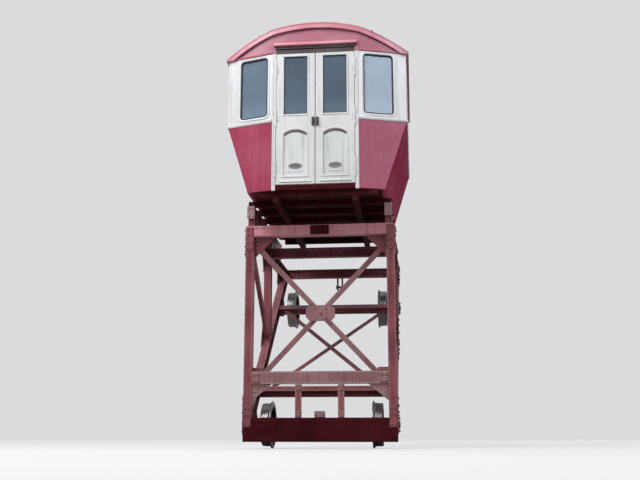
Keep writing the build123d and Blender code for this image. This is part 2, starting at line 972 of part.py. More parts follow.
with BuildPart() as roof:
    with BuildSketch(facing_downhill(cabin_mid)):
        with Locations((0, roof_centre)):
            Circle(roof_radius)
            Circle(roof_radius - roof_thickness, mode=Mode.SUBTRACT)
    extrude(amount=cabin_length, both=True)
    with BuildSketch(Plane.XY.offset(waist_height)):
        Polygon(*cabin_plan, align=None)
        offset(amount=roof_overhang, kind=Kind.INTERSECTION)
    extrude(amount=2 * roof_radius, mode=Mode.INTERSECT)
    top_edges = [
        edge
        for edge in roof.edges()
        if abs(hypot((edge @ 0.5).X, (edge @ 0.5).Z - roof_centre) - roof_radius) < arc_tolerance
    ]
    fillet(top_edges, radius=rim_round)
write(roof, "roof")

with BuildPart() as roof_rim:
    with BuildSketch(facing_downhill(cabin_mid)):
        with Locations((0, roof_centre)):
            Circle(roof_radius - roof_thickness)
            Circle(roof_radius - roof_thickness - rim_depth, mode=Mode.SUBTRACT)
        with Locations((0, head_height)):
            Rectangle(
                beyond,
                beyond,
                align=(Align.CENTER, Align.MIN),
                mode=Mode.INTERSECT,
            )
    extrude(amount=cabin_length, both=True)
    with BuildSketch(Plane.XY.offset(waist_height)):
        Polygon(*cabin_plan, align=None)
        offset(amount=roof_overhang, kind=Kind.INTERSECTION)
    extrude(amount=2 * roof_radius, mode=Mode.INTERSECT)
    with BuildSketch(Plane.XY.offset(waist_height)):
        Polygon(*cabin_plan, align=None)
        offset(amount=roof_overhang - rim_thickness, kind=Kind.INTERSECTION)
    extrude(amount=2 * roof_radius, mode=Mode.SUBTRACT)
write(roof_rim, "roof_rim")

# Door posts with the fixed hinge knuckles
with BuildPart() as door_posts:
    with Locations((door_opening_half, cabin_front, floor_low)):
        Box(door_post_width, bow_wall, head_height - floor_low, align=(Align.MIN, Align.MIN, Align.MIN))
    for height in hinge_heights:
        for end in (-1, 1):
            middle = height + end * (knuckle_length + knuckle_gap)
            with Locations((hinge_x, hinge_y, middle)):
                Cylinder(knuckle_radius, knuckle_length)
            with Locations((hinge_x, cabin_front, middle)):
                Box(
                    hinge_plate_reach,
                    hinge_plate_thickness,
                    knuckle_length,
                    align=(Align.MIN, Align.MAX, Align.CENTER),
                )
    mirror(about=Plane.YZ)
    mirror(about=cabin_middle)
write(door_posts, "door_posts")

# Door leaves: glazed above, a crowned sunk panel below, moving hinge knuckles, a lock
leaf_middle = (leaf_inner_edge + leaf_outer_edge) / 2
leaf_width = leaf_outer_edge - leaf_inner_edge
leaf_glass_width = leaf_width - 2 * leaf_stile
leaf_glass_middle = (leaf_glass_low + leaf_glass_high) / 2
leaf_glass_height = leaf_glass_high - leaf_glass_low
panel_left = leaf_inner_edge + leaf_stile
panel_right = leaf_outer_edge - leaf_stile

with BuildPart() as leaf:
    with BuildSketch(facing_downhill(cabin_front + wall)):
        with Locations((leaf_middle, (leaf_low + leaf_high) / 2)):
            Rectangle(leaf_width, leaf_high - leaf_low)
        with Locations((leaf_middle, leaf_glass_middle)):
            Rectangle(leaf_glass_width, leaf_glass_height, mode=Mode.SUBTRACT)
    extrude(amount=wall)
    with BuildSketch(facing_downhill(cabin_front + leaf_panel_recess)):
        with BuildLine():
            Polyline(
                (panel_left, leaf_panel_high - leaf_panel_crown),
                (panel_left, leaf_panel_low),
                (panel_right, leaf_panel_low),
                (panel_right, leaf_panel_high - leaf_panel_crown),
            )
            ThreePointArc(
                (panel_right, leaf_panel_high - leaf_panel_crown),
                (leaf_middle, leaf_panel_high),
                (panel_left, leaf_panel_high - leaf_panel_crown),
            )
        make_face()
    extrude(amount=leaf_panel_recess, mode=Mode.SUBTRACT)
    for height in hinge_heights:
        with Locations((hinge_x, hinge_y, height)):
            Cylinder(knuckle_radius, knuckle_length)
        with Locations((hinge_x, cabin_front, height)):
            Box(
                hinge_plate_reach,
                hinge_plate_thickness,
                knuckle_length,
                align=(Align.MAX, Align.MAX, Align.CENTER),
            )

with BuildPart() as pane:
    with BuildSketch(facing_downhill(cabin_front + wall / 2 + glass_thickness / 2)):
        with Locations((leaf_middle, leaf_glass_middle)):
            Rectangle(leaf_glass_width, leaf_glass_height)
    extrude(amount=glass_thickness)

lock_x = leaf_inner_edge + lock_edge_margin + lock_width / 2
lock_z = waist_height - lock_below_waist

with BuildPart() as lock:
    with BuildSketch(facing_downhill(cabin_front)):
        with Locations((lock_x, lock_z)):
            RectangleRounded(lock_width, lock_height, lock_round)
    extrude(amount=lock_depth)
    with BuildSketch(facing_downhill(cabin_front - lock_depth)):
        with Locations((lock_x, lock_z)):
            Circle(spindle_radius)
    extrude(amount=spindle_length)
    with BuildSketch(facing_downhill(cabin_front - lock_depth - spindle_length)):
        with Locations((lock_x, lock_z)):
            SlotOverall(lever_length, lever_width, rotation=90)
    extrude(amount=lever_thickness)

door_table = (
    ("downhill_right", False, False),
    ("downhill_left", True, False),
    ("uphill_right", False, True),
    ("uphill_left", True, True),
)

for place, swap_side, swap_end in door_table:
    for kind, shape in (("door_leaf", leaf.part), ("door_glass", pane.part), ("door_lock", lock.part)):
        if swap_side:
            shape = shape.mirror(Plane.YZ)
        if swap_end:
            shape = shape.mirror(cabin_middle)
        with BuildPart() as door_piece:
            add(shape)
        write(door_piece, f"{kind}_{place}")

# Benches along both sides
bench_front = plan_corner + bench_end_clearance
bench_length = 2 * (cabin_mid - bench_front)
bench_step = (bench_length - bench_support_thickness) / (bench_support_count - 1)
seat_low = floor_high + bench_seat_height - bench_seat_thickness
bench_width = tub_x(seat_low) - tub_wall - bench_inner
bench_support_in = bench_inner + bench_support_inset
bench_support_width = tub_x(floor_high) - tub_wall - bench_support_inset - bench_support_in

with BuildPart() as bench_seats:
    with Locations((bench_inner, cabin_mid, seat_low)):
        Box(bench_width, bench_length, bench_seat_thickness, align=(Align.MIN, Align.CENTER, Align.MIN))
    mirror(about=Plane.YZ)
write(bench_seats, "bench_seats")

with BuildPart() as bench_supports:
    for index in range(bench_support_count):
        with Locations((bench_support_in, bench_front + index * bench_step, floor_high)):
            Box(
                bench_support_width,
                bench_support_thickness,
                seat_low - floor_high,
                align=(Align.MIN, Align.MIN, Align.MIN),
            )
    mirror(about=Plane.YZ)
write(bench_supports, "bench_supports")
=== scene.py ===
import json
import math
import random

import bmesh
import bpy
from mathutils import Matrix, Vector

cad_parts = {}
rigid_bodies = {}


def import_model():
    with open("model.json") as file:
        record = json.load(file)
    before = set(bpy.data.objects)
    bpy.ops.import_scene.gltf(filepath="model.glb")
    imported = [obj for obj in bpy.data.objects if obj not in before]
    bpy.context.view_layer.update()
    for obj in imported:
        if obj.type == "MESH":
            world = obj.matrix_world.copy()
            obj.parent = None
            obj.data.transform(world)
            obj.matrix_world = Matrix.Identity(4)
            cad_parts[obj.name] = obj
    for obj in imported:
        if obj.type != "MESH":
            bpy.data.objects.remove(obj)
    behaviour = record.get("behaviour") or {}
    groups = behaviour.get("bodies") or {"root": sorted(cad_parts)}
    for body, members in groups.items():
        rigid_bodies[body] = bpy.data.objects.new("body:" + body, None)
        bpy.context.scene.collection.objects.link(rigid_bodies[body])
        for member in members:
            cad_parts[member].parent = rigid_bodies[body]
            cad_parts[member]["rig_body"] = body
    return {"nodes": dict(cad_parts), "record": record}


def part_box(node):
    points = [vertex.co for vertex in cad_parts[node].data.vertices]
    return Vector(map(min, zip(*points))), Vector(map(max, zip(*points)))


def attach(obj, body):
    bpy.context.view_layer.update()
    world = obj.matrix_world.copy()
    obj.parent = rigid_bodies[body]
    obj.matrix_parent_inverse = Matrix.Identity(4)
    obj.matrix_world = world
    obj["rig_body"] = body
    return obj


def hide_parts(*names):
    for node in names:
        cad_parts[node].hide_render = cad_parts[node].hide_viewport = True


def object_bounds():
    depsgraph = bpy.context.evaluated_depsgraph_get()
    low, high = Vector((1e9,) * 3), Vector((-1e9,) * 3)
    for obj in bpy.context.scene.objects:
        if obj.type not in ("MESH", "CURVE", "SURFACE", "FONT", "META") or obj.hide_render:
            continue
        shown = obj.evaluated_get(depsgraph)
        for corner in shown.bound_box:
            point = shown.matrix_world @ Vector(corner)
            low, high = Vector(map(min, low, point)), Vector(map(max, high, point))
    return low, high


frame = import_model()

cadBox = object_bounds()
random.seed(23)
nodeSlot = {row["node"]: row["material_slot"] for row in frame["record"]["subparts"]}


# A shader socket under Python's own operators: an expression on sockets adds its Math nodes
class Wire:
    def __init__(self, finish, socket):
        self.finish = finish
        self.socket = socket

    def maths(self, operation, first, second):
        return self.finish.node("ShaderNodeMath", {"operation": operation}, {0: first, 1: second})

    def __add__(self, other):
        return self.maths("ADD", self, other)

    def __radd__(self, other):
        return self.maths("ADD", other, self)

    def __sub__(self, other):
        return self.maths("SUBTRACT", self, other)

    def __rsub__(self, other):
        return self.maths("SUBTRACT", other, self)

    def __mul__(self, other):
        return self.maths("MULTIPLY", self, other)

    def __rmul__(self, other):
        return self.maths("MULTIPLY", other, self)

    def __truediv__(self, other):
        return self.maths("DIVIDE", self, other)

    def __rtruediv__(self, other):
        return self.maths("DIVIDE", other, self)

    def __mod__(self, other):
        return self.maths("FLOORED_MODULO", self, other)

    def __rmod__(self, other):
        return self.maths("FLOORED_MODULO", other, self)

    # 0 below low, 1 above high, smooth between
    def band(self, low, high):
        sockets = {"Value": self, "From Min": low, "From Max": high}
        return self.finish.node("ShaderNodeMapRange", {"interpolation_type": "SMOOTHSTEP"}, sockets)


# The nodes of one material, or of the world; a colour is given as (red, green, blue)
class Finish:
    def __init__(self, owner):
        owner.use_nodes = True
        self.owner = owner
        self.tree = owner.node_tree
        self.tree.nodes.clear()
        self.place = self.node("ShaderNodeTexCoord", {}, {}, "Object")

    def node(self, kind, settings, sockets, output=0):
        made = self.tree.nodes.new(kind)
        for name, value in settings.items():
            setattr(made, name, value)
        for name, value in sockets.items():
            socket = made.inputs[name]
            if isinstance(value, Wire):
                self.tree.links.new(value.socket, socket)
            else:
                socket.default_value = (*value, 1.0) if socket.type == "RGBA" else value
        return Wire(self, made.outputs[output] if made.outputs else None)

    def axis(self, name):
        return self.node("ShaderNodeSeparateXYZ", {}, {0: self.place}, name)

    # Noise from 0 to 1 with lumps of about that size in metres, drawn out by stretch
    def cloud(self, size, detail=3.0, stretch=(1, 1, 1)):
        scaled = tuple(1 / (size * part) for part in stretch)
        spot = self.node("ShaderNodeMapping", {}, {"Vector": self.place, "Scale": scaled})
        return self.node("ShaderNodeTexNoise", {}, {"Vector": spot, "Scale": 1.0, "Detail": detail})

    def attribute(self, name):
        return self.node("ShaderNodeAttribute", {"attribute_name": name}, {}, "Fac")

    # How far the surface faces along an axis of its own object, from -1 to 1
    def facing(self, axisName):
        normal = self.node("ShaderNodeTexCoord", {}, {}, "Normal")
        return self.node("ShaderNodeSeparateXYZ", {}, {0: normal}, axisName)

    def mix(self, first, second, share):
        settings = {"data_type": "RGBA", "clamp_factor": True}
        return self.node("ShaderNodeMix", settings, {0: share, 6: first, 7: second}, 2)

    def bump(self, height, depth):
        return self.node("ShaderNodeBump", {}, {"Height": height, "Distance": depth})

    def surface(self, sockets):
        shader = self.node("ShaderNodeBsdfPrincipled", {}, sockets)
        self.node("ShaderNodeOutputMaterial", {}, {"Surface": shader})


def newFinish(name):
    return Finish(bpy.data.materials.new(name))


# Paints: what a paint doesn't say itself it takes from plainPaint
plainPaint = {
    "rough": (0.40, 0.60),         # where clean, where dirty
    "specular": 0.50,
    "coat": 0.0,
    "dullSides": False,            # True where the ends keep a polish that the leaning sides have lost
    "patch": 0.55,                 # metres across a faded patch
    "grimeShare": 0.50,
    "rustShare": 0.70,
    "peel": 0.0016,                # metres deep
}
paintLooks = {
    "frame_paint": {
        "fresh": (0.175, 0.017, 0.032), "faded": (0.285, 0.058, 0.078), "grime": (0.030, 0.012, 0.012),
        "dust": (0.400, 0.285, 0.265), "rust": (0.130, 0.042, 0.018),
        "rough": (0.42, 0.78), "specular": 0.30, "coat": 0.10, "grimeShare": 0.55, "rustShare": 0.75,
    },
    # Nearly black: painted shade under the cabin
    "underfloor_paint": {
        "fresh": (0.050, 0.004, 0.005), "faded": (0.066, 0.010, 0.011), "grime": (0.010, 0.006, 0.005),
        "dust": (0.140, 0.095, 0.085), "rust": (0.060, 0.022, 0.012),
        "rough": (0.60, 0.90), "specular": 0.05, "grimeShare": 0.80, "rustShare": 0.50, "peel": 0.0020,
    },
    "cabin_crimson": {
        "fresh": (0.364, 0.047, 0.094), "faded": (0.425, 0.086, 0.142), "grime": (0.130, 0.030, 0.045),
        "dust": (0.480, 0.330, 0.330), "rust": (0.180, 0.050, 0.030), "rough": (0.40, 0.58),
        "specular": 0.0, "coat": 0.23, "dullSides": True,
        "grimeShare": 0.30, "rustShare": 0.10, "peel": 0.0006,
    },
    "roof_crimson": {
        "fresh": (0.490, 0.165, 0.220), "faded": (0.560, 0.235, 0.290), "grime": (0.200, 0.070, 0.080),
        "dust": (0.600, 0.420, 0.420), "rust": (0.220, 0.080, 0.050), "rough": (0.38, 0.62),
        "specular": 0.0, "coat": 0.06, "patch": 0.30, "grimeShare": 0.30, "rustShare": 0.08, "peel": 0.0010,
    },
    "cabin_white": {
        "fresh": (0.770, 0.780, 0.790), "faded": (0.700, 0.705, 0.700), "grime": (0.380, 0.365, 0.340),
        "dust": (0.600, 0.570, 0.530), "rust": (0.420, 0.250, 0.150), "rough": (0.26, 0.46),
        "specular": 0.40, "coat": 0.08, "grimeShare": 0.34, "rustShare": 0.16, "peel": 0.0006,
    },
    # White greyed for the sunk door panels: partly dirt, partly painted shade in the recess
    "grimy_shaded_panel_white": {
        "fresh": (0.740, 0.765, 0.775), "faded": (0.650, 0.675, 0.680), "grime": (0.300, 0.295, 0.280),
        "dust": (0.520, 0.500, 0.470), "rust": (0.400, 0.240, 0.150), "rough": (0.26, 0.46),
        "coat": 0.22, "grimeShare": 0.42, "rustShare": 0.16, "peel": 0.0006,
    },
    # Crimson lightened for the end fascias: partly faded paint, partly painted light against the shade under
    # the overhang
    "faded_lit_fascia_rose": {
        "fresh": (0.415, 0.120, 0.175), "faded": (0.475, 0.178, 0.235), "grime": (0.240, 0.090, 0.105),
        "dust": (0.700, 0.500, 0.500), "rust": (0.240, 0.090, 0.060),
        "coat": 0.06, "grimeShare": 0.26, "rustShare": 0.08, "peel": 0.0008,
    },
    # Pale pink for the roof rim and the door hoods: partly faded, dusty paint, partly a painted highlight
    # along their edges
    "highlight_rim_pink": {
        "fresh": (0.620, 0.170, 0.235), "faded": (0.740, 0.330, 0.380), "grime": (0.260, 0.090, 0.100),
        "dust": (0.740, 0.560, 0.550), "rust": (0.240, 0.090, 0.060), "rough": (0.36, 0.60),
        "coat": 0.12, "grimeShare": 0.26, "rustShare": 0.12, "peel": 0.0008,
    },
    # Frame paint made bright pink for the top beam: painted light
    "lit_beam_rose": {
        "fresh": (0.550, 0.150, 0.190), "faded": (0.680, 0.270, 0.315), "grime": (0.110, 0.032, 0.036),
        "dust": (0.560, 0.380, 0.375), "rust": (0.150, 0.048, 0.022), "rough": (0.46, 0.80), "specular": 0.30,
    },
    # Frame paint darkened nearly to black: painted shade, on the thresholds, the bottom beam and the splice
    "shade_maroon": {
        "fresh": (0.046, 0.003, 0.006), "faded": (0.072, 0.007, 0.011), "grime": (0.012, 0.004, 0.004),
        "dust": (0.200, 0.110, 0.105), "rust": (0.090, 0.030, 0.014),
        "rough": (0.40, 0.74), "specular": 0.06, "grimeShare": 0.60,
    },
    "dusty_rose": {
        "fresh": (0.215, 0.080, 0.086), "faded": (0.335, 0.170, 0.173), "grime": (0.075, 0.034, 0.034),
        "dust": (0.400, 0.262, 0.255), "rust": (0.160, 0.060, 0.030),
        "rough": (0.56, 0.86), "specular": 0.20, "peel": 0.0018,
    },
    "bearer_pale": {
        "fresh": (0.300, 0.125, 0.140), "faded": (0.390, 0.205, 0.215), "grime": (0.130, 0.060, 0.062),
        "dust": (0.520, 0.350, 0.345), "rust": (0.200, 0.080, 0.040),
        "rough": (0.50, 0.80), "grimeShare": 0.40, "rustShare": 0.50, "peel": 0.0014,
    },
    "vent_grey": {
        "fresh": (0.300, 0.305, 0.310), "faded": (0.380, 0.385, 0.385), "grime": (0.110, 0.105, 0.100),
        "dust": (0.480, 0.460, 0.440), "rust": (0.200, 0.110, 0.060),
        "rough": (0.34, 0.60), "coat": 0.10, "rustShare": 0.20, "peel": 0.0006,
    },
    # Dark paint; on the lintels and the strips under the hoods over the doors, and along the door panels'
    # arches, it is painted shade
    "dark_trim": {
        "fresh": (0.040, 0.022, 0.030), "faded": (0.085, 0.055, 0.065), "grime": (0.020, 0.014, 0.014),
        "dust": (0.240, 0.200, 0.190), "rust": (0.100, 0.045, 0.025),
        "rough": (0.35, 0.60), "coat": 0.10, "grimeShare": 0.40, "rustShare": 0.20, "peel": 0.0008,
    },
}
weather = {
    "speck": 0.022,                # metres across specks, runs of dirt and grain
    "run": 0.045,
    "runStretch": (1, 1, 14),      # dirt is washed down the sides
    "grain": 0.006,
    "dustShares": (0.42, 0.85, 0.70),      # all over, along edges, on what faces up
    "coatRoughness": 0.18,
}


def weatheredPaint(slotName, look):
    look = {**plainPaint, **look}
    paint = newFinish(slotName)
    patches = paint.cloud(look["patch"], 4.0)
    specks = paint.cloud(weather["speck"], 5.0)
    runs = paint.cloud(weather["run"], 4.0, weather["runStretch"])
    edge = paint.attribute("edge")
    tops = paint.facing("Z").band(0.25, 0.95)
    shade = paint.mix(look["fresh"], look["faded"], patches.band(0.34, 0.66))
    grimeMask = runs.band(0.48, 0.74) * look["grimeShare"] * (1.0 - edge * 0.6)
    shade = paint.mix(shade, look["grime"], grimeMask)
    allOver, alongEdges, facingUp = weather["dustShares"]
    dustLie = paint.attribute("dust") * (allOver + edge * alongEdges + tops * facingUp)
    dustMask = (dustLie * (0.35 + specks.band(0.30, 0.68))).band(0.02, 0.98)
    shade = paint.mix(shade, look["dust"], dustMask)
    chips = (edge * specks.band(0.56, 0.66) * patches.band(0.40, 0.62)) * look["rustShare"]
    shade = paint.mix(shade, look["rust"], chips)
    low, high = look["rough"]
    dirt = (grimeMask + dustMask + chips + patches * 0.25).band(0.0, 1.2)
    relief = paint.cloud(weather["grain"], 3.0) * 0.5 + specks * (0.3 + dustMask) - chips * 1.2
    coat = look["coat"]
    if look["dullSides"]:
        coat = coat * (1.0 - (paint.facing("X") * paint.facing("X")).band(0.30, 0.80))
    paint.surface({
        "Base Color": shade,
        "Roughness": low + (high - low) * dirt,
        "Normal": paint.bump(relief, look["peel"]),
        "Coat Weight": coat,
        "Coat Roughness": weather["coatRoughness"],
        "Specular IOR Level": look["specular"],
    })
    return paint


# Glass: slate blue, half seen through, under a pale blue layer that is partly dust and partly a painted sky
# reflection, lighter low on each pane and darker at the top as painted light and shade
glassLook = {
    "tint": (0.090, 0.122, 0.182),
    # pale sky blue: partly dust, partly a painted reflection of the sky
    "filmAndReflection": (0.500, 0.760, 0.940),
    "clear": 0.70,
    "dusty": 0.92,
    "sideClear": 0.50,             # the side panes are wiped clearer than the bowed ones
    "paleLow": (4.58, 4.92),       # heights between which the painted paleness low on each pane fades out
    "haze": 0.80,                  # metres across
    "streak": 0.02,
    "wave": 0.90,
}


def windowGlass():
    glass = newFinish("window_glass")
    streaks = glass.cloud(glassLook["streak"], 3.0, (1, 1, 9)).band(0.5, 0.8)
    haze = glass.cloud(glassLook["haze"], 2.0).band(0.25, 0.80) * 0.16 + streaks * 0.08
    # paler low on each pane as painted light, the top left darker as painted shade
    paleLow = 1.0 - glass.axis("Z").band(*glassLook["paleLow"])
    sideways = glass.facing("X") * glass.facing("X")
    bowed = sideways.band(0.02, 0.16)        # bowed and side panes get more of the pale blue than the doors: partly dust, partly painted reflection
    filmAndReflection = (haze + paleLow * 0.14) * (0.55 + bowed * 0.24) + bowed * 0.23
    cover = glassLook["clear"] + (glassLook["dusty"] - glassLook["clear"]) * filmAndReflection
    glass.surface({
        "Base Color": glass.mix(glassLook["tint"], glassLook["filmAndReflection"], filmAndReflection),
        "Roughness": 0.03 + filmAndReflection * 0.12,
        "Alpha": cover * (1.0 - sideways.band(0.3, 0.9) * glassLook["sideClear"]),
        "Normal": glass.bump(glass.cloud(glassLook["wave"], 0.0), 0.0010),
    })
    return glass


# Iron and steel: dark and pale skin, then where worn bright, with the roughness and metal of each
metalLooks = {
    "wheel_iron": {
        "dark": (0.030, 0.022, 0.019), "pale": (0.095, 0.058, 0.040), "worn": (0.230, 0.222, 0.212),
        "bright": 0.36, "metal": 0.30,
    },
    "axle_steel": {
        "dark": (0.045, 0.035, 0.030), "pale": (0.120, 0.085, 0.068), "worn": (0.240, 0.230, 0.220),
        "bright": 0.36, "metal": 0.50,
    },
    "box_iron": {
        "dark": (0.026, 0.017, 0.016), "pale": (0.085, 0.048, 0.040), "worn": (0.180, 0.165, 0.155),
        "bright": 0.40, "metal": 0.25,
    },
    "bright_steel": {
        "dark": (0.260, 0.255, 0.250), "pale": (0.420, 0.410, 0.400), "worn": (0.500, 0.490, 0.470),
        "bright": 0.28, "metal": 0.90,
    },
}
metalSkin = {"rough": 0.72, "oil": (0.010, 0.008, 0.007), "patch": 0.09, "speck": 0.007, "oilPatch": 0.16}


# The tread attribute marks metal that running has polished, the edge attribute edges that are rubbed
def workedMetal(slotName, look):
    metal = newFinish(slotName)
    patches = metal.cloud(metalSkin["patch"], 5.0)
    specks = metal.cloud(metalSkin["speck"], 5.0)
    rubbed = metal.attribute("edge") * patches.band(0.35, 0.75) * 0.30
    polish = (metal.attribute("tread") * (0.75 + patches * 0.4) + rubbed).band(0.05, 0.95)
    shade = metal.mix(look["dark"], look["pale"], patches.band(0.40, 0.70))
    shade = metal.mix(shade, look["worn"], polish)
    oil = metal.cloud(metalSkin["oilPatch"], 2.0).band(0.52, 0.62) * (1.0 - polish)
    metal.surface({
        "Base Color": metal.mix(shade, metalSkin["oil"], oil * 0.7),
        "Metallic": look["metal"] + (1.0 - look["metal"]) * polish,
        "Roughness": metalSkin["rough"] - polish * (metalSkin["rough"] - look["bright"]) - oil * 0.30,
        "Normal": metal.bump((specks + patches * 0.6) * (1.0 - polish * 0.85), 0.0014),
    })
    return metal


# Wood: boards along Y, with grain drawn out along them
woodLooks = {
    "floor_wood": {
        "pale": (0.215, 0.135, 0.075), "dark": (0.085, 0.050, 0.028),
        "rough": 0.72, "board": 0.110, "specular": 0.15,
    },
    "bench_wood": {
        "pale": (0.300, 0.130, 0.045), "dark": (0.130, 0.050, 0.018),
        "rough": 0.30, "board": 0.085, "specular": 0.50,
    },
}
woodSeamsAndShade = {"seam": (0.030, 0.020, 0.014), "below": (0.034, 0.006, 0.006)}      # the seams are dark joints; the boards are darkened below with painted shade


def boardedWood(slotName, look):
    wood = newFinish(slotName)
    across = wood.axis("X") / look["board"]
    inBoard = across % 1.0
    seam = inBoard.band(0.94, 1.0) + (1.0 - inBoard).band(0.94, 1.0)
    oneWay = {"noise_dimensions": "1D"}
    boardTone = wood.node("ShaderNodeTexWhiteNoise", oneWay, {"W": across - inBoard}, "Value")
    grain = wood.cloud(0.012, 6.0, (1, 26, 1))
    wear = wood.cloud(0.30, 4.0).band(0.40, 0.70)
    shade = wood.mix(look["pale"], look["dark"], grain.band(0.35, 0.68) * 0.7 + boardTone * 0.3)
    shade = wood.mix(shade, woodSeamsAndShade["seam"], seam)
    # Undersides turn nearly black: painted shade
    wood.surface({
        "Base Color": wood.mix(shade, woodSeamsAndShade["below"], (0.0 - wood.facing("Z")).band(0.2, 0.8) * 0.9),
        "Roughness": look["rough"] + wear * 0.15,
        "Specular IOR Level": look["specular"],
        "Normal": wood.bump(grain * 0.4 - seam, 0.0020),
    })
    return wood


rubberLook = {"clean": (0.014, 0.014, 0.015), "bloomed": (0.060, 0.060, 0.062), "rough": 0.55}


def blackRubber():
    rubber = newFinish("black_rubber")
    bloom = rubber.cloud(0.08, 4.0).band(0.4, 0.75)
    rubber.surface({
        "Base Color": rubber.mix(rubberLook["clean"], rubberLook["bloomed"], bloom),
        "Roughness": rubberLook["rough"] + bloom * 0.25,
        "Normal": rubber.bump(rubber.cloud(0.004, 3.0), 0.0006),
    })
    return rubber


finishes = {"window_glass": windowGlass(), "rubber": blackRubber()}
for makeFinish, looks in ((weatheredPaint, paintLooks), (workedMetal, metalLooks), (boardedWood, woodLooks)):
    for slotName, look in looks.items():
        finishes[slotName] = makeFinish(slotName, look)
print("finishes made:", len(finishes))


# Shapes
# A flat place: local x runs along across, y along up, and z stands proud of the surface
def seat(origin, across, up):
    sideways = Vector(across).normalized()
    upright = Vector(up).normalized()
    proud = sideways.cross(upright)
    return Matrix.Translation(origin) @ Matrix((sideways, upright, proud)).transposed().to_4x4()


def facingDownhill(y):
    return seat((0, y, 0), (1, 0, 0), (0, 0, 1))


def facingRight(x):
    return seat((x, 0, 0), (0, 1, 0), (0, 0, 1))


def lyingAt(z):
    return seat((0, 0, z), (1, 0, 0), (0, 1, 0))


def shifted(place, x, y, z=0.0):
    return place @ Matrix.Translation((x, y, z))


def mirrored(along):
    return Matrix.Scale(-1, 4, along)


# Each point of a flat path moved to its left, with mitred corners
def sidestep(path, amount, closed=True):
    moved = []
    last = len(path) - 1
    for index, point in enumerate(path):
        sides = []
        if closed or index > 0:
            before = (Vector(point) - Vector(path[index - 1])).normalized()
            sides.append(Vector((-before.y, before.x)))
        if closed or index < last:
            after = (Vector(path[(index + 1) % len(path)]) - Vector(point)).normalized()
            sides.append(Vector((-after.y, after.x)))
        turn = 1.0 + sides[0].dot(sides[-1]) if len(sides) == 2 else 1.0
        moved.append(Vector(point) + sum(sides, Vector((0, 0))) * (amount / turn))
    return moved


def joinRings(shape, rings, closed):
    for lower, upper in zip(rings, rings[1:]):
        count = max(len(lower), len(upper))
        for index in range(count if closed else count - 1):
            beyond = (index + 1) % count
            corners = [
                lower[index % len(lower)],
                lower[beyond % len(lower)],
                upper[beyond % len(upper)],
                upper[index % len(upper)],
            ]
            shape.faces.new(list(dict.fromkeys(corners)))


# A section of (left of the path, proud) points carried along a flat path
def addSweep(shape, path, section, place, closed=True):
    rings = []
    for left, proud in section:
        line = sidestep(path, left, closed)
        rings.append([shape.verts.new(place @ Vector((point.x, point.y, proud))) for point in line])
    joinRings(shape, rings + rings[:1], closed)
    if not closed:
        shape.faces.new([ring[0] for ring in rings])
        shape.faces.new([ring[-1] for ring in rings])


# A plate from its outline, its upper edge chamfered
def addPlate(shape, outline, low, high, place, chamfer=0.0):
    pairs = zip(outline, outline[1:] + outline[:1])
    turn = sum(here[0] * there[1] - there[0] * here[1] for here, there in pairs)
    if turn < 0:
        outline = outline[::-1]
    layers = [(0.0, low), (0.0, high - chamfer), (chamfer, high)] if chamfer else [(0.0, low), (0.0, high)]
    rings = []
    for inward, height in layers:
        line = sidestep(outline, inward)
        rings.append([shape.verts.new(place @ Vector((point.x, point.y, height))) for point in line])
    joinRings(shape, rings, True)
    shape.faces.new(rings[0])
    shape.faces.new(rings[-1])


# A turned shape from (radius, height) points
def addTurned(shape, profile, place, sides=24):
    rings = []
    for radius, height in profile:
        count = sides if radius else 1
        turns = [2 * math.pi * index / count for index in range(count)]
        points = [Vector((radius * math.cos(turn), radius * math.sin(turn), height)) for turn in turns]
        rings.append([shape.verts.new(place @ point) for point in points])
    joinRings(shape, rings, True)
    for ring in (rings[0], rings[-1]):
        if len(ring) > 1:
            shape.faces.new(ring)


def arcPoints(centre, radius, start, end, steps):
    turns = [math.radians(start + (end - start) * index / steps) for index in range(steps + 1)]
    return [(centre[0] + radius * math.cos(turn), centre[1] + radius * math.sin(turn)) for turn in turns]


def boxOutline(left, low, right, high):
    return [(left, low), (right, low), (right, high), (left, high)]


def roundedOutline(left, low, right, high, corner, steps=6):
    points = arcPoints((right - corner, low + corner), corner, -90, 0, steps)
    points += arcPoints((right - corner, high - corner), corner, 0, 90, steps)
    points += arcPoints((left + corner, high - corner), corner, 90, 180, steps)
    points += arcPoints((left + corner, low + corner), corner, 180, 270, steps)
    return points


# A box with an arched top, the crown's rise above its shoulders given
def archedOutline(left, low, right, high, crown, steps=12):
    half = (right - left) / 2
    radius = (half * half + crown * crown) / (2 * crown)
    reach = math.degrees(math.asin(half / radius))
    arch = arcPoints(((left + right) / 2, high - radius), radius, 90 - reach, 90 + reach, steps)
    return [(left, low), (right, low)] + arch


def ovalOutline(centre, width, height, steps=28):
    turns = [2 * math.pi * index / steps for index in range(steps)]
    return [
        (centre[0] + width / 2 * math.cos(turn), centre[1] + height / 2 * math.sin(turn)) for turn in turns
    ]


def spread(low, high, count):
    return [low + (high - low) * index / (count - 1) for index in range(count)]


def grid(acrossPlaces, upPlaces):
    return [(x, y) for x in acrossPlaces for y in upPlaces]


# Bolts and rivets stand at places whose z axis leaves the surface
boltSizes = {"across": 0.030, "head": 0.014, "washer": 0.024, "washerThick": 0.004, "chamfer": 0.003}


def addBolt(shape, place, scale=1.0):
    size = {name: value * scale for name, value in boltSizes.items()}
    spun = place @ Matrix.Rotation(random.uniform(0, math.pi / 3), 4, "Z")
    rim, thick = size["washer"], size["washerThick"]
    addTurned(shape, [(rim, -0.002), (rim, thick * 0.8), (rim * 0.9, thick)], spun, 14)
    corner = size["across"] / 2 / math.cos(math.pi / 6)
    top = thick + size["head"]
    shoulder = top - size["chamfer"]
    head = [(corner, thick - 0.001), (corner, shoulder), (corner * 0.82, top), (0, top + 0.001 * scale)]
    addTurned(shape, head, spun, 6)


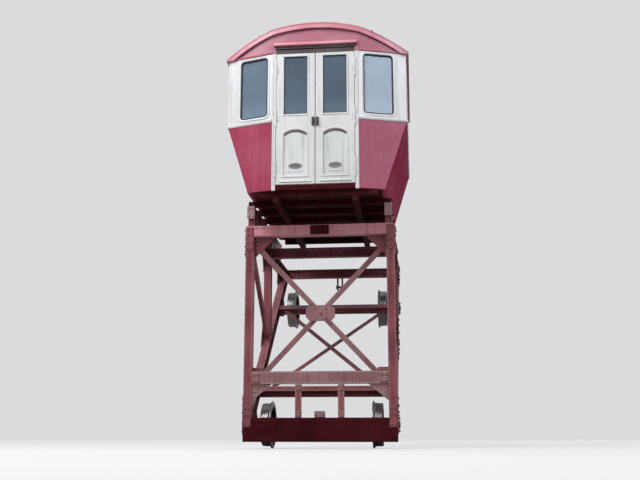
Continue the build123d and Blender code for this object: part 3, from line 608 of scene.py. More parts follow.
def addBolts(shape, place, spots, height=0.0, scale=1.0):
    for x, y in spots:
        addBolt(shape, shifted(place, x, y, height), scale)


def addRivet(shape, place, radius):
    dome = [(radius * math.cos(turn), radius * 0.62 * math.sin(turn)) for turn in (0.0, 0.35, 0.8, 1.2)]
    addTurned(shape, [(radius, -0.002)] + dome + [(0, radius * 0.62)], place, 10)


def addRivets(shape, place, spots, height, radius):
    for x, y in spots:
        addRivet(shape, shifted(place, x, y, height), radius)


# A plate set into the surface, with its bolts: what the look doesn't say is as here
boltedPlate = {"sunk": -0.002, "thick": 0.009, "chamfer": 0.002, "bolts": [], "scale": 0.8}


def addBolted(shape, look, place):
    look = {**boltedPlate, **look}
    addPlate(shape, look["outline"], look["sunk"], look["thick"], place, look["chamfer"])
    addBolts(shape, place, look["bolts"], look["thick"], look["scale"])


# A mesh becomes an object on its body
def placeObject(name, shape, body, finish):
    data = bpy.data.meshes.new(name)
    shape.to_mesh(data)
    shape.free()
    data.polygons.foreach_set("use_smooth", [True] * len(data.polygons))
    data.materials.append(finishes[finish].owner)
    piece = bpy.data.objects.new(name, data)
    bpy.context.scene.collection.objects.link(piece)
    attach(piece, body)
    return piece


def makePiece(name, shape, slotName, finish=None, dust=0.0, body="car"):
    bmesh.ops.recalc_face_normals(shape, faces=shape.faces)
    piece = placeObject(name, shape, body, finish or slotName)
    piece.data.set_sharp_from_angle(angle=math.radians(38))
    layer = piece.data.attributes.new("dust", "FLOAT", "POINT")
    layer.data.foreach_set("value", [dust] * len(piece.data.vertices))
    return piece


# A CAD node's own shape with rounded edges, and a rim inside each face that tells paint where they are
dressing = {
    "weld": 0.00002,
    "flat": math.radians(0.4),     # faces that bend less are one
    "sharp": math.radians(28),     # edges that bend more are rounded
    "region": math.radians(20),    # faces that bend less share a rim
    "leastRim": 0.0015,
    "normalWeight": 90,
}


def dressNode(node, look):
    source = frame["nodes"][node]
    shape = bmesh.new()
    shape.from_mesh(source.data)
    bmesh.ops.remove_doubles(shape, verts=shape.verts, dist=dressing["weld"])
    bmesh.ops.dissolve_limit(shape, angle_limit=dressing["flat"], verts=shape.verts, edges=shape.edges)
    for face in shape.faces:
        face.material_index = 0
    sharp = [
        line for line in shape.edges
        if len(line.link_faces) == 2 and line.calc_face_angle(0.0) > dressing["sharp"]
    ]
    bmesh.ops.bevel(
        shape, geom=sharp, offset=look["bevel"], offset_type="OFFSET", segments=2, profile=0.5,
        affect="EDGES", clamp_overlap=look.get("clamp", True), material=1,
    )
    edgeLayer = shape.verts.layers.float.new("edge")
    dustLayer = shape.verts.layers.float.new("dust")
    for point in shape.verts:
        point[edgeLayer] = 1.0
        point[dustLayer] = look["dust"]
    waiting = dict.fromkeys(face for face in shape.faces if face.material_index == 0)
    regions = []
    while waiting:
        region = [waiting.popitem()[0]]
        for face in region:
            for line in face.edges:
                for other in line.link_faces:
                    if other in waiting and line.calc_face_angle(0.0) < dressing["region"]:
                        del waiting[other]
                        region.append(other)
        regions.append(region)
    for region in regions:
        inside = set(region)
        area = sum(face.calc_area() for face in region)
        outline = [
            line for face in region for line in face.edges
            if any(other not in inside for other in line.link_faces)
        ]
        reach = min(look["rim"], 0.5 * area / max(sum(line.calc_length() for line in outline), 0.0001))
        if reach > dressing["leastRim"]:
            bmesh.ops.inset_region(
                shape, faces=region, thickness=reach, use_even_offset=True, use_boundary=True,
            )
        for face in region:
            for point in face.verts:
                point[edgeLayer] = 0.0
    for face in shape.faces:
        face.material_index = 0
    finish = look.get("finish", nodeSlot[node])
    piece = placeObject(node + "Dressed", shape, source["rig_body"], finish)
    weighted = piece.modifiers.new("weightedNormal", "WEIGHTED_NORMAL")
    weighted.weight = dressing["normalWeight"]
    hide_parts(node)
    return piece


# Bevel, rim, dust and finish by slot, and by node where the slot's don't fit
slotLooks = {
    "frame_paint": {"bevel": 0.006, "rim": 0.026, "dust": 0.30},
    "underfloor_paint": {"bevel": 0.006, "rim": 0.020, "dust": 0.08},
    "cabin_crimson": {"bevel": 0.004, "rim": 0.020, "dust": 0.06},
    "roof_crimson": {"bevel": 0.004, "rim": 0.030, "dust": 0.16},
    "cabin_white": {"bevel": 0.004, "rim": 0.016, "dust": 0.10},
    "dark_trim": {"bevel": 0.003, "rim": 0.010, "dust": 0.20},
    "axle_steel": {"bevel": 0.003, "rim": 0.010, "dust": 0.20},
    "box_iron": {"bevel": 0.006, "rim": 0.020, "dust": 0.20},
    "floor_wood": {"bevel": 0.004, "rim": 0.012, "dust": 0.20},
}
nodeLooks = {
    "roof": {"rim": 0.0},
    # The rim's pale pink is partly a painted highlight
    "roof_rim": {"rim": 0.0, "dust": 0.30, "finish": "highlight_rim_pink"},
    # The fascia is lightened with painted light
    "end_fascias": {"rim": 0.0, "finish": "faded_lit_fascia_rose"},
    # The thresholds are dark with painted shade
    "thresholds": {"dust": 0.02, "finish": "shade_maroon"},
    "side_frames": {"rim": 0.012, "clamp": False},
    "door_posts": {"bevel": 0.002, "rim": 0.0, "clamp": False},
    # The bottom beam is dark with painted shade
    "bottom_beam": {"bevel": 0.005, "rim": 0.0, "dust": 0.04, "finish": "shade_maroon"},
    # The top beam is bright pink with painted light
    "top_cross_beam": {"bevel": 0.004, "rim": 0.0, "dust": 0.70, "finish": "lit_beam_rose"},
    "brace_gussets": {"bevel": 0.004, "rim": 0.0, "dust": 0.50},
    "front_brace_a": {"dust": 0.34, "finish": "dusty_rose"},
    "front_brace_b": {"dust": 0.30, "finish": "dusty_rose"},
    "lower_crossbar": {"dust": 0.72, "finish": "dusty_rose"},
    "knee_plates": {"dust": 0.70, "finish": "dusty_rose"},
    "front_posts": {"dust": 0.36},
    "stop_bracket": {"dust": 0.55},
    "droppers": {"dust": 0.55},
}
leafPlaces = ("downhill_right", "downhill_left", "uphill_right", "uphill_left")
for leafPlace in leafPlaces:
    nodeLooks["door_leaf_" + leafPlace] = {"bevel": 0.002, "rim": 0.010, "clamp": False}
    nodeLooks["door_lock_" + leafPlace] = {"bevel": 0.002, "rim": 0.0, "clamp": False}
remadeNodes = ("bench_seats", "wheels_lower", "wheels_upper")
dressed = {}
for node in sorted(frame["nodes"]):
    if nodeSlot[node] == "window_glass":     # panes stay as they are, but for their finish
        for materialSlot in frame["nodes"][node].material_slots:
            materialSlot.material = finishes["window_glass"].owner
    elif node not in remadeNodes:
        dressed[node] = dressNode(node, {**slotLooks[nodeSlot[node]], **nodeLooks.get(node, {})})
print("nodes dressed:", len(dressed))

# The middle gusset of the front bracing has gone as dusty as its bars
gussets = dressed["brace_gussets"].data
gussets.materials.append(finishes["dusty_rose"].owner)
for face in gussets.polygons:
    face.material_index = 1 if abs(face.center.x) < 0.30 else 0

# Wheelsets: the flats of the turned journals need a hair more room in the bore than their true circle does.
# The wheels are turned all over, from (radius, distance out, share of polish) points round their profile
wheelset = {
    "journal": 0.045,
    "slimmer": 0.0003,
    "sides": 96,
    "profile": [
        (0.0520, 0.7060, 0.0), (0.0920, 0.7060, 0.0), (0.0960, 0.7100, 0.2), (0.0960, 0.7630, 0.0),
        (0.0995, 0.7715, 0.0), (0.1080, 0.7750, 0.0), (0.1700, 0.7750, 0.0), (0.2330, 0.7750, 0.0),
        (0.2415, 0.7715, 0.0), (0.2450, 0.7630, 0.0), (0.2450, 0.7210, 0.0), (0.2490, 0.7170, 0.1),
        (0.2820, 0.7170, 0.0), (0.3020, 0.7170, 0.7), (0.3235, 0.7170, 0.9), (0.3298, 0.7195, 1.0),
        (0.3326, 0.7255, 1.0), (0.3322, 0.7330, 1.0), (0.3290, 0.7385, 1.0), (0.3235, 0.7425, 1.0),
        (0.3150, 0.7465, 1.0), (0.3085, 0.7510, 1.0), (0.3052, 0.7580, 1.0), (0.3047, 0.7640, 1.0),
        (0.3008, 0.8520, 1.0), (0.3000, 0.8600, 0.8), (0.2960, 0.8650, 0.5), (0.2880, 0.8650, 0.1),
        (0.2490, 0.8650, 0.0), (0.2450, 0.8610, 0.1), (0.2450, 0.8190, 0.0), (0.2415, 0.8105, 0.0),
        (0.2330, 0.8070, 0.0), (0.1700, 0.8070, 0.0), (0.1080, 0.8070, 0.0), (0.0995, 0.8105, 0.0),
        (0.0960, 0.8190, 0.0), (0.0960, 0.8720, 0.0), (0.0920, 0.8760, 0.2), (0.0520, 0.8760, 0.0),
    ],
}
for level in ("lower", "upper"):
    middle = sum(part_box("axle_" + level), Vector((0, 0, 0))) / 2
    for point in dressed["axle_" + level].data.vertices:
        fromAxis = Vector((0, point.co.y - middle.y, point.co.z - middle.z))
        if wheelset["journal"] * 0.5 < fromAxis.length < wheelset["journal"] * 1.01:
            point.co -= fromAxis.normalized() * wheelset["slimmer"]
    shape = bmesh.new()
    tread = shape.verts.layers.float.new("tread")
    for hand in (1, -1):
        rings = []
        for radius, out, polish in wheelset["profile"]:
            ring = []
            for step in range(wheelset["sides"]):
                turn = 2 * math.pi * step / wheelset["sides"]
                spot = (hand * out, middle.y + radius * math.cos(turn), middle.z + radius * math.sin(turn))
                point = shape.verts.new(spot)
                point[tread] = polish
                ring.append(point)
            rings.append(ring)
        joinRings(shape, rings + rings[:1], True)
    wheels = makePiece("wheelsTurned_" + level, shape, "wheel_iron", body="wheelset_" + level)
    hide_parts("wheels_" + level)
print("wheelsets turned")


# Cabin: the right downhill quarter is drawn, and the others are its mirror images
cabin = {
    "front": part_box("end_panels")[0].y,
    "back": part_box("end_panels")[1].y,
    "floor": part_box("end_panels")[0].z,
    "waist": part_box("end_panels")[1].z,
    "half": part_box("end_panels")[1].x,
    "head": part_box("end_frames")[1].z,
    "bay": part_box("door_posts")[1].x,
    "bowSetBack": 0.220,
    "footHalf": 0.970,             # where the leaning sides meet the floor
    "roofRadius": 2.3125,
    "roofCentre": 3.6375,
    "windowLow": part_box("end_glass")[0].z,
    "windowHigh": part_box("end_glass")[1].z,
    "windowCorner": 0.050,
    "bowWindow": (0.078, 0.512),   # along the bowed wall
    "sideWindows": (-0.440, 0.390, 1.220),
    "sideWindowHalf": 0.370,
    "sheetJoint": 0.415,           # the panels' joints lie so far to both sides of the middle
}
middleY = (cabin["front"] + cabin["back"]) / 2
bowRun = cabin["half"] - cabin["bay"]
bowLength = math.hypot(bowRun, cabin["bowSetBack"])
tubLean = (cabin["half"] - cabin["footHalf"], cabin["waist"] - cabin["floor"])
tubHeight = math.hypot(*tubLean)
asDrawn = Matrix.Identity(4)
toLeft = mirrored((1, 0, 0))
toUphill = Matrix.Translation((0, 2 * middleY, 0)) @ mirrored((0, 1, 0))
sides = [asDrawn, toLeft]
ends = [asDrawn, toUphill]
quarters = [asDrawn, toLeft, toUphill, toLeft @ toUphill]
front = facingDownhill(cabin["front"])
bow = seat((cabin["bay"], cabin["front"], 0), (bowRun, cabin["bowSetBack"], 0), (0, 0, 1))
flank = facingRight(cabin["half"])
tub = seat((cabin["footHalf"], 0, cabin["floor"]), (0, 1, 0), (tubLean[0], 0, tubLean[1]))
bowHalf = [
    (cabin["bay"] + 0.002, cabin["front"]),
    (cabin["half"], cabin["front"] + cabin["bowSetBack"]),
    (cabin["half"], cabin["back"] - cabin["bowSetBack"]),
    (cabin["bay"] + 0.002, cabin["back"]),
]


def bowY(x):
    return cabin["front"] + (x - cabin["bay"]) / bowRun * cabin["bowSetBack"]


# How far along the bowed wall its panel reaches at a height
def bowReach(z):
    lean = (cabin["waist"] - z) * tubLean[0] / tubLean[1]
    return (cabin["half"] - lean - cabin["bay"]) / bowRun * bowLength


# Mouldings round the cabin, each a section of (inward, height) points
mouldings = {
    "waistMoulding": {
        "section": [
            (0.004, -0.024), (-0.006, -0.024), (-0.015, -0.012), (-0.015, 0.010), (-0.008, 0.018),
            (0.004, 0.020),
        ],
        "height": cabin["waist"],
        "slot": "cabin_white",
        "dust": 0.16,
    },
    "headMoulding": {
        "section": [
            (0.004, 0.004), (-0.008, 0.004), (-0.012, 0.010), (-0.012, 0.026), (-0.006, 0.032),
            (0.004, 0.034),
        ],
        "height": cabin["head"],
        "slot": "roof_crimson",
        "dust": 0.35,
    },
}
for name, look in mouldings.items():
    shape = bmesh.new()
    for side in sides:
        addSweep(shape, bowHalf, look["section"], side @ lyingAt(look["height"]), closed=False)
    makePiece(name, shape, look["slot"], dust=look["dust"])

# Hood over each door, with a drip edge, its pale pink partly a painted highlight, and the dark strip under
# it, painted shade
doorHood = {
    "line": [(-0.602, 5.600), (0.602, 5.600)],
    "shadeCap": boxOutline(-0.590, 5.560, 0.590, 5.604),
    "shadeCapProud": 0.006,
    "section": [
        (0.000, -0.004), (0.000, 0.034), (0.007, 0.040), (0.016, 0.040), (0.020, 0.028), (0.044, 0.022),
        (0.052, 0.008), (0.058, 0.006), (0.058, -0.004),
    ],
}
hoods, shadeCaps = bmesh.new(), bmesh.new()
for end in ends:
    addSweep(hoods, doorHood["line"], doorHood["section"], end @ front, closed=False)
    addPlate(shadeCaps, doorHood["shadeCap"], -0.010, doorHood["shadeCapProud"], end @ front, 0.002)
makePiece("doorHoods", hoods, "roof_crimson", "highlight_rim_pink", dust=0.45)
makePiece("lintelShadeCaps", shadeCaps, "dark_trim", dust=0.15)

# Skirt, corner strips and beads on the crimson panels
panelTrim = {
    "skirt": 0.054, "skirtProud": 0.008,
    "strip": 0.030, "stripProud": 0.004, "doorStrip": 0.024,
    "bead": 0.024, "beadProud": 0.006,
    "gap": 0.002,                  # between skirt and strips
    "edge": 0.004,                 # between strips and corners
    "underWaist": 0.026,
    "rivetUp": 0.027, "rivet": 0.006, "bowRivets": (0.05, 0.33, 4), "sideRivets": 20, "sideRivetIn": 0.08,
    "sunk": -0.001,
}
gap, edge, strip = panelTrim["gap"], panelTrim["edge"], panelTrim["strip"]
floorLine, skirtTop = cabin["floor"] + 0.001, cabin["floor"] + panelTrim["skirt"]
stripFoot, stripTop = skirtTop + gap, cabin["waist"] - panelTrim["underWaist"]
footEnd, topEnd = bowReach(stripFoot) - edge, bowReach(stripTop) - edge
bowSkirt = [
    (gap, floorLine), (bowReach(cabin["floor"]), floorLine), (bowReach(skirtTop), skirtTop), (gap, skirtTop),
]
bowStrips = [
    [(footEnd - strip, stripFoot), (footEnd, stripFoot), (topEnd, stripTop), (topEnd - strip, stripTop)],
    boxOutline(edge, stripFoot, edge + panelTrim["doorStrip"], stripTop),
]
footY = bowY(cabin["footHalf"])
footBack = 2 * middleY - footY
sideFoot, sideTop = panelTrim["skirt"] + gap, tubHeight - panelTrim["underWaist"]
sideDrift = (bowY(cabin["half"]) - footY) * 0.975      # the panels widen upwards
shape = bmesh.new()
for quarter in quarters:
    addPlate(shape, bowSkirt, panelTrim["sunk"], panelTrim["skirtProud"], quarter @ bow, 0.003)
    for outline in bowStrips:
        addPlate(shape, outline, panelTrim["sunk"], panelTrim["stripProud"], quarter @ bow, 0.002)
    spots = grid(spread(*panelTrim["bowRivets"]), [cabin["floor"] + panelTrim["rivetUp"]])
    addRivets(shape, quarter @ bow, spots, panelTrim["skirtProud"], panelTrim["rivet"])
for side in sides:
    sideSkirt = boxOutline(footY + edge, 0.001, footBack - edge, panelTrim["skirt"])
    addPlate(shape, sideSkirt, panelTrim["sunk"], panelTrim["skirtProud"], side @ tub, 0.003)
    inset = panelTrim["sideRivetIn"]
    spots = grid(spread(footY + inset, footBack - inset, panelTrim["sideRivets"]), [panelTrim["rivetUp"]])
    addRivets(shape, side @ tub, spots, panelTrim["skirtProud"], panelTrim["rivet"])
    for y in (middleY - cabin["sheetJoint"], middleY + cabin["sheetJoint"]):
        bead = boxOutline(y - panelTrim["bead"] / 2, sideFoot, y + panelTrim["bead"] / 2, sideTop)
        addPlate(shape, bead, panelTrim["sunk"], panelTrim["beadProud"], side @ tub, 0.005)
    for y, turn in ((footY, 1), (footBack, -1)):
        near, far = y + turn * edge, y + turn * (edge + strip)
        drift = turn * sideDrift
        edgeStrip = [(near, sideFoot), (far, sideFoot), (far + drift, sideTop), (near + drift, sideTop)]
        addPlate(shape, edgeStrip, panelTrim["sunk"], panelTrim["stripProud"], side @ tub, 0.002)
makePiece("panelTrim", shape, "cabin_crimson", dust=0.10)

# Windows: rubber seals and white architraves, each a section of (inward, proud) points
windowTrim = {
    "seal": [
        (-0.004, -0.002), (-0.004, 0.004), (0.003, 0.007), (0.011, 0.004), (0.013, -0.015), (-0.001, -0.015),
    ],
    "frame": [
        (-0.036, -0.002), (-0.036, 0.005), (-0.031, 0.010), (-0.011, 0.010), (-0.005, 0.006),
        (-0.005, -0.002),
    ],
}


def windowOpening(near, far):
    return roundedOutline(near, cabin["windowLow"], far, cabin["windowHigh"], cabin["windowCorner"])


windows = [(windowOpening(*cabin["bowWindow"]), quarter @ bow) for quarter in quarters]
for side in sides:
    for y in cabin["sideWindows"]:
        opening = windowOpening(y - cabin["sideWindowHalf"], y + cabin["sideWindowHalf"])
        windows.append((opening, side @ flank))
seals, architraves = bmesh.new(), bmesh.new()
for opening, place in windows:
    addSweep(seals, opening, windowTrim["seal"], place)
    addSweep(architraves, opening, windowTrim["frame"], place)
makePiece("windowSeals", seals, "dark_trim", "rubber")
makePiece("windowArchitraves", architraves, "cabin_white", dust=0.12)

# Cover strips down the joint of each door post, and over the edges of each corner post
postTrim = {
    "strip": 0.018, "jointStrip": 0.020, "proud": 0.005,
    "jointFoot": 3.520, "foot": 0.022, "in": 0.006,
}
cornerY = cabin["front"] + cabin["bowSetBack"] + postTrim["in"]
cornerEnd = bowLength - postTrim["in"]
jointEnd = cabin["bay"] - 0.002
stripLow, stripHigh = cabin["waist"] + postTrim["foot"], cabin["head"] + 0.002
jointFrom = jointEnd - postTrim["jointStrip"]
coverStrips = [
    (boxOutline(jointFrom, postTrim["jointFoot"], jointEnd, cabin["head"] - 0.004), front),
    (boxOutline(cornerEnd - postTrim["strip"], stripLow, cornerEnd, stripHigh), bow),
    (boxOutline(cornerY, stripLow, cornerY + postTrim["strip"], stripHigh), flank),
]
shape = bmesh.new()
for quarter in quarters:
    for outline, place in coverStrips:
        addPlate(shape, outline, -0.001, postTrim["proud"], quarter @ place, 0.002)
makePiece("postStrips", shape, "cabin_white", dust=0.14)

# Doors: the right downhill leaf is drawn and mirrored to the other three
door = {
    "glass": (0.110, 4.555, 0.455, 5.440),
    "panel": (0.110, 3.640, 0.455, 4.330),
    "crown": 0.060,
    "recess": 0.010,
    "thick": 0.040,
    "low": 3.523,
    "high": 5.482,
    "fieldInset": 0.058,
    "fieldCrown": 0.032,
    "fieldBevel": 0.006,
    "rail": [(0.060, 3.553), (0.505, 3.553)],
    "strike": (0.0026, 0.0070),    # rubber along the meeting edge, from and to so far across
    "strikeDeep": (-0.028, -0.012),
    "strikeIn": 0.006,             # from the ends of the leaf
}
doorSections = {
    "bead": [
        (-0.022, -0.002), (-0.022, 0.004), (-0.017, 0.008), (-0.006, 0.008), (0.004, 0.002), (0.004, -0.002),
    ],
    "seal": [(-0.003, -0.003), (-0.003, 0.002), (0.006, 0.003), (0.010, -0.015), (-0.001, -0.015)],
    "panel": [
        (-0.018, -0.002), (-0.018, 0.004), (-0.013, 0.009), (-0.004, 0.010), (0.006, 0.004), (0.010, -0.006),
        (0.010, -0.011),
    ],
    # the dark strip along the panel's arched head: painted shade under the moulding
    "arch": [
        (0.014, -0.012), (0.014, 0.000), (0.020, 0.003), (0.030, 0.003), (0.034, -0.002), (0.034, -0.012),
    ],
    "rail": [(0.0, -0.002), (0.0, 0.010), (0.006, 0.014), (0.022, 0.008), (0.034, -0.002)],
    "vent": [(0.0, -0.006), (0.0, 0.002), (0.004, 0.005), (0.010, 0.005), (0.013, 0.002), (0.013, -0.006)],
}
vent = {
    "centre": (0.2825, 3.790), "wide": 0.190, "tall": 0.086, "plateIn": 0.008,
    "louvres": 5, "pitch": 0.16, "bladeIn": 0.012, "blade": 0.006, "bladeHalf": 0.0010, "tilt": -34,
}
hardware = {
    "hinges": (3.763, 4.5025, 5.242),
    "leafScrews": grid([0.536], [-0.030, 0.0, 0.030]),
    "postScrews": grid([0.590], [-0.122, -0.091, -0.060, 0.060, 0.091, 0.122]),
    "hingeProud": 0.005,
    "screw": 0.0045,
    "lock": (0.031, 4.440),
    "lockProud": 0.016,
    "lockScrews": grid([0.0], [-0.052, 0.052]),
    "lockScrew": 0.0042,
    "keyhole": ovalOutline((0.0, -0.030), 0.010, 0.022, 14),
    "keyholeDeep": (0.015, 0.0175),
}
panelArch = archedOutline(*door["panel"], door["crown"], 16)
glassEdge = boxOutline(*door["glass"])


def dressLeaf(place, mirror):
    body = "door_" + place
    face = mirror @ front
    inside = shifted(face, 0, 0, -door["thick"]) @ mirrored((0, 0, 1))

    white = bmesh.new()
    for path, section, leafFace in (
        (glassEdge, "bead", face), (glassEdge, "bead", inside),
        (panelArch, "bead", inside), (panelArch, "panel", face),
    ):
        addSweep(white, path, doorSections[section], leafFace)
    addSweep(white, door["rail"], doorSections["rail"], face, False)
    makePiece("doorMouldings_" + place, white, "cabin_white", dust=0.16, body=body)

    # The sunk field is greyer than the stiles: partly dirt, partly painted shade
    panel = bmesh.new()
    left, low, right, high = door["panel"]
    inset, recess = door["fieldInset"], door["recess"]
    field = archedOutline(left + inset, low + inset, right - inset, high - inset, door["fieldCrown"])
    addPlate(panel, sidestep(panelArch, 0.002), -recess - 0.002, -recess + 0.001, face)
    addPlate(panel, field, -recess, -0.003, face, door["fieldBevel"])
    makePiece("doorPanels_" + place, panel, "cabin_white", "grimy_shaded_panel_white", dust=0.20, body=body)

    rubber = bmesh.new()
    for leafFace in (face, inside):
        addSweep(rubber, glassEdge, doorSections["seal"], leafFace)
    near, far = door["strike"]
    strike = boxOutline(near, door["low"] + door["strikeIn"], far, door["high"] - door["strikeIn"])
    addPlate(rubber, strike, *door["strikeDeep"], face)
    makePiece("doorRubbers_" + place, rubber, "dark_trim", "rubber", body=body)

    # A dark strip along the arched head of each panel, painted shade under its moulding, and a dark plate
    # behind the vent
    dark = bmesh.new()
    archOnly = panelArch[2:]
    addSweep(dark, archOnly, doorSections["arch"], face, False)
    ventPlate = ovalOutline(vent["centre"], vent["wide"] - vent["plateIn"], vent["tall"] - vent["plateIn"])
    addPlate(dark, ventPlate, -0.006, -0.002, face)
    makePiece("panelArchShades_" + place, dark, "dark_trim", dust=0.25, body=body)

    grille = bmesh.new()
    addSweep(grille, ovalOutline(vent["centre"], vent["wide"], vent["tall"]), doorSections["vent"], face)
    for step in range(vent["louvres"]):
        drop = (step - (vent["louvres"] - 1) / 2) * vent["tall"] * vent["pitch"]
        half = vent["wide"] / 2 * math.sqrt(1 - (2 * drop / vent["tall"]) ** 2) - vent["bladeIn"]
        tilted = Matrix.Rotation(math.radians(vent["tilt"]), 4, "X")
        blade = boxOutline(-half, -vent["blade"], half, vent["blade"])
        bladePlace = shifted(face, vent["centre"][0], vent["centre"][1] + drop) @ tilted
        addPlate(grille, blade, -vent["bladeHalf"], vent["bladeHalf"], bladePlace)
    makePiece("doorVents_" + place, grille, "dark_trim", "vent_grey", dust=0.3, body=body)

    steel = bmesh.new()
    for height in hardware["hinges"]:
        hinge = shifted(face, 0, height)
        addRivets(steel, hinge, hardware["leafScrews"], hardware["hingeProud"], hardware["screw"])
    lock = shifted(face, *hardware["lock"])
    addRivets(steel, lock, hardware["lockScrews"], hardware["lockProud"], hardware["lockScrew"])
    addPlate(steel, hardware["keyhole"], *hardware["keyholeDeep"], lock)
    makePiece("doorScrews_" + place, steel, "dark_trim", "bright_steel", body=body)


for leafPlace, mirror in zip(leafPlaces, quarters):
    dressLeaf(leafPlace, mirror)
print("doors dressed")

# Worn tread plates on the thresholds
treadPlate = {
    "half": 0.560, "depth": (0.003, 0.036), "thick": 0.0015,
    "ribs": 4, "ribFrom": 0.007, "ribStep": 0.0075, "rib": 0.003, "ribTop": 0.003, "ribIn": 0.01,
}
sill = seat((0, cabin["front"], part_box("thresholds")[1].z), (1, 0, 0), (0, 1, 0))
shape = bmesh.new()
for end in ends:
    half = treadPlate["half"]
    near, far = treadPlate["depth"]
    addPlate(shape, boxOutline(-half, near, half, far), -0.001, treadPlate["thick"], end @ sill)
    half -= treadPlate["ribIn"]
    for step in range(treadPlate["ribs"]):
        y = treadPlate["ribFrom"] + step * treadPlate["ribStep"]
        rib = boxOutline(-half, y, half, y + treadPlate["rib"])
        addPlate(shape, rib, 0.001, treadPlate["ribTop"], end @ sill)
makePiece("treadPlates", shape, "cabin_crimson", "bright_steel")

# Hinge screws on the fixed plates
shape = bmesh.new()
for quarter in quarters:
    for height in hardware["hinges"]:
        hinge = shifted(quarter @ front, 0, height)
        addRivets(shape, hinge, hardware["postScrews"], hardware["hingeProud"], hardware["screw"])
makePiece("hingeScrews", shape, "cabin_white", "bright_steel")


# Roof: a place on its skin at x and y, where x runs down the slope
def onRoof(x, y, sunk=0.0):
    rise = math.sqrt((cabin["roofRadius"] - sunk) ** 2 - x * x)
    return seat((x, y, cabin["roofCentre"] + rise), (rise, 0, -x), (0, 1, 0))


def roofArc(depth, half, steps):
    radius = cabin["roofRadius"] - depth
    reach = math.degrees(math.asin(half / radius))
    return arcPoints((0, cabin["roofCentre"]), radius, 90 - reach, 90 + reach, steps)


# Rain strips, and rivets along the edges of the roof
roofTrim = {
    "stripX": 0.82, "stripHalf": 0.011, "stripTall": 0.018, "stripFrom": -1.222, "stripTo": 2.002,
    "eaves": 1.29, "eavesRivets": spread(-0.98, 1.76, 19), "endRivets": spread(0.10, 1.28, 9), "rivet": 0.006,
}
stripHalf = roofTrim["stripHalf"]
rainStrip = boxOutline(-stripHalf, roofTrim["stripFrom"], stripHalf, roofTrim["stripTo"])
shape = bmesh.new()
for side in sides:
    addPlate(shape, rainStrip, -0.002, roofTrim["stripTall"], side @ onRoof(roofTrim["stripX"], 0), 0.004)
    for x in roofTrim["endRivets"]:
        y = bowY(max(x, cabin["bay"])) - 0.012
        lower = -0.0035 * (x < 0.2)          # the crown's rivets sit a little deeper
        for station in (y, 2 * middleY - y):
            addRivet(shape, side @ Matrix.Translation((0, 0, lower)) @ onRoof(x, station), roofTrim["rivet"])
    for y in roofTrim["eavesRivets"]:
        addRivet(shape, side @ onRoof(roofTrim["eaves"], y), roofTrim["rivet"])
makePiece("rainStrips", shape, "roof_crimson", dust=0.3)

# Ceiling: a lining under the roof, held by hoops
ceiling = {
    "depth": 0.044, "thick": 0.006, "half": 1.235, "wall": 0.046,
    "hoops": (-0.96, middleY - cabin["sheetJoint"], middleY + cabin["sheetJoint"], 1.74),
    "hoopDepth": 0.050, "hoopHalf": 1.225,
    "hoop": [(0.0, 0.025), (0.020, 0.025), (0.026, 0.018), (0.026, -0.018), (0.020, -0.025), (0.0, -0.025)],
}
shape = bmesh.new()
rings = []
for x, z in roofArc(ceiling["depth"], ceiling["half"], 24):
    near = bowY(max(abs(x), cabin["bay"])) + ceiling["wall"]
    far = 2 * middleY - near
    below = z - ceiling["thick"]
    corners = ((near, z), (far, z), (far, below), (near, below))
    rings.append([shape.verts.new((x, y, height)) for y, height in corners])
joinRings(shape, rings, True)
shape.faces.new(rings[0])
shape.faces.new(rings[-1])
makePiece("ceilingLining", shape, "cabin_white", dust=0.05)
shape = bmesh.new()
for y in ceiling["hoops"]:
    hoopLine = roofArc(ceiling["hoopDepth"], ceiling["hoopHalf"], 24)
    addSweep(shape, hoopLine, ceiling["hoop"], facingDownhill(y), False)
makePiece("ceilingHoops", shape, "bench_wood")

# Roof sheets: the skin is a little lower between the cover strips over their joints
sheets = {
    "sink": 0.0028, "edge": 1.30, "fade": 0.1,
    "stations": (-1.245, -0.415, 0.415, 1.245), "half": 0.013, "proud": 0.0024, "coverHalf": 1.285,
    "rivets": spread(0.26, 1.22, 13), "rivet": 0.005,
}
for point in dressed["roof"].data.vertices:
    fromCentre = Vector((point.co.x, 0, point.co.z - cabin["roofCentre"]))
    if fromCentre.length > cabin["roofRadius"] - 0.006:
        share = min(1, max(0, (sheets["edge"] - abs(point.co.x)) / sheets["fade"]))
        point.co -= fromCentre.normalized() * sheets["sink"] * share
half, proud = sheets["half"], sheets["proud"]
cover = [
    (0.004, half), (0.001 - proud, half), (-proud, half - 0.002),
    (-proud, 0.002 - half), (0.001 - proud, -half), (0.004, -half),
]
shape = bmesh.new()
for station in sheets["stations"]:
    y = middleY + station
    addSweep(shape, roofArc(sheets["sink"], sheets["coverHalf"], 40), cover, facingDownhill(y), False)
    for side in sides:
        for x in sheets["rivets"]:
            addRivet(shape, side @ onRoof(x, y, sheets["sink"] - proud), sheets["rivet"])
makePiece("roofCovers", shape, "roof_crimson", dust=0.30)

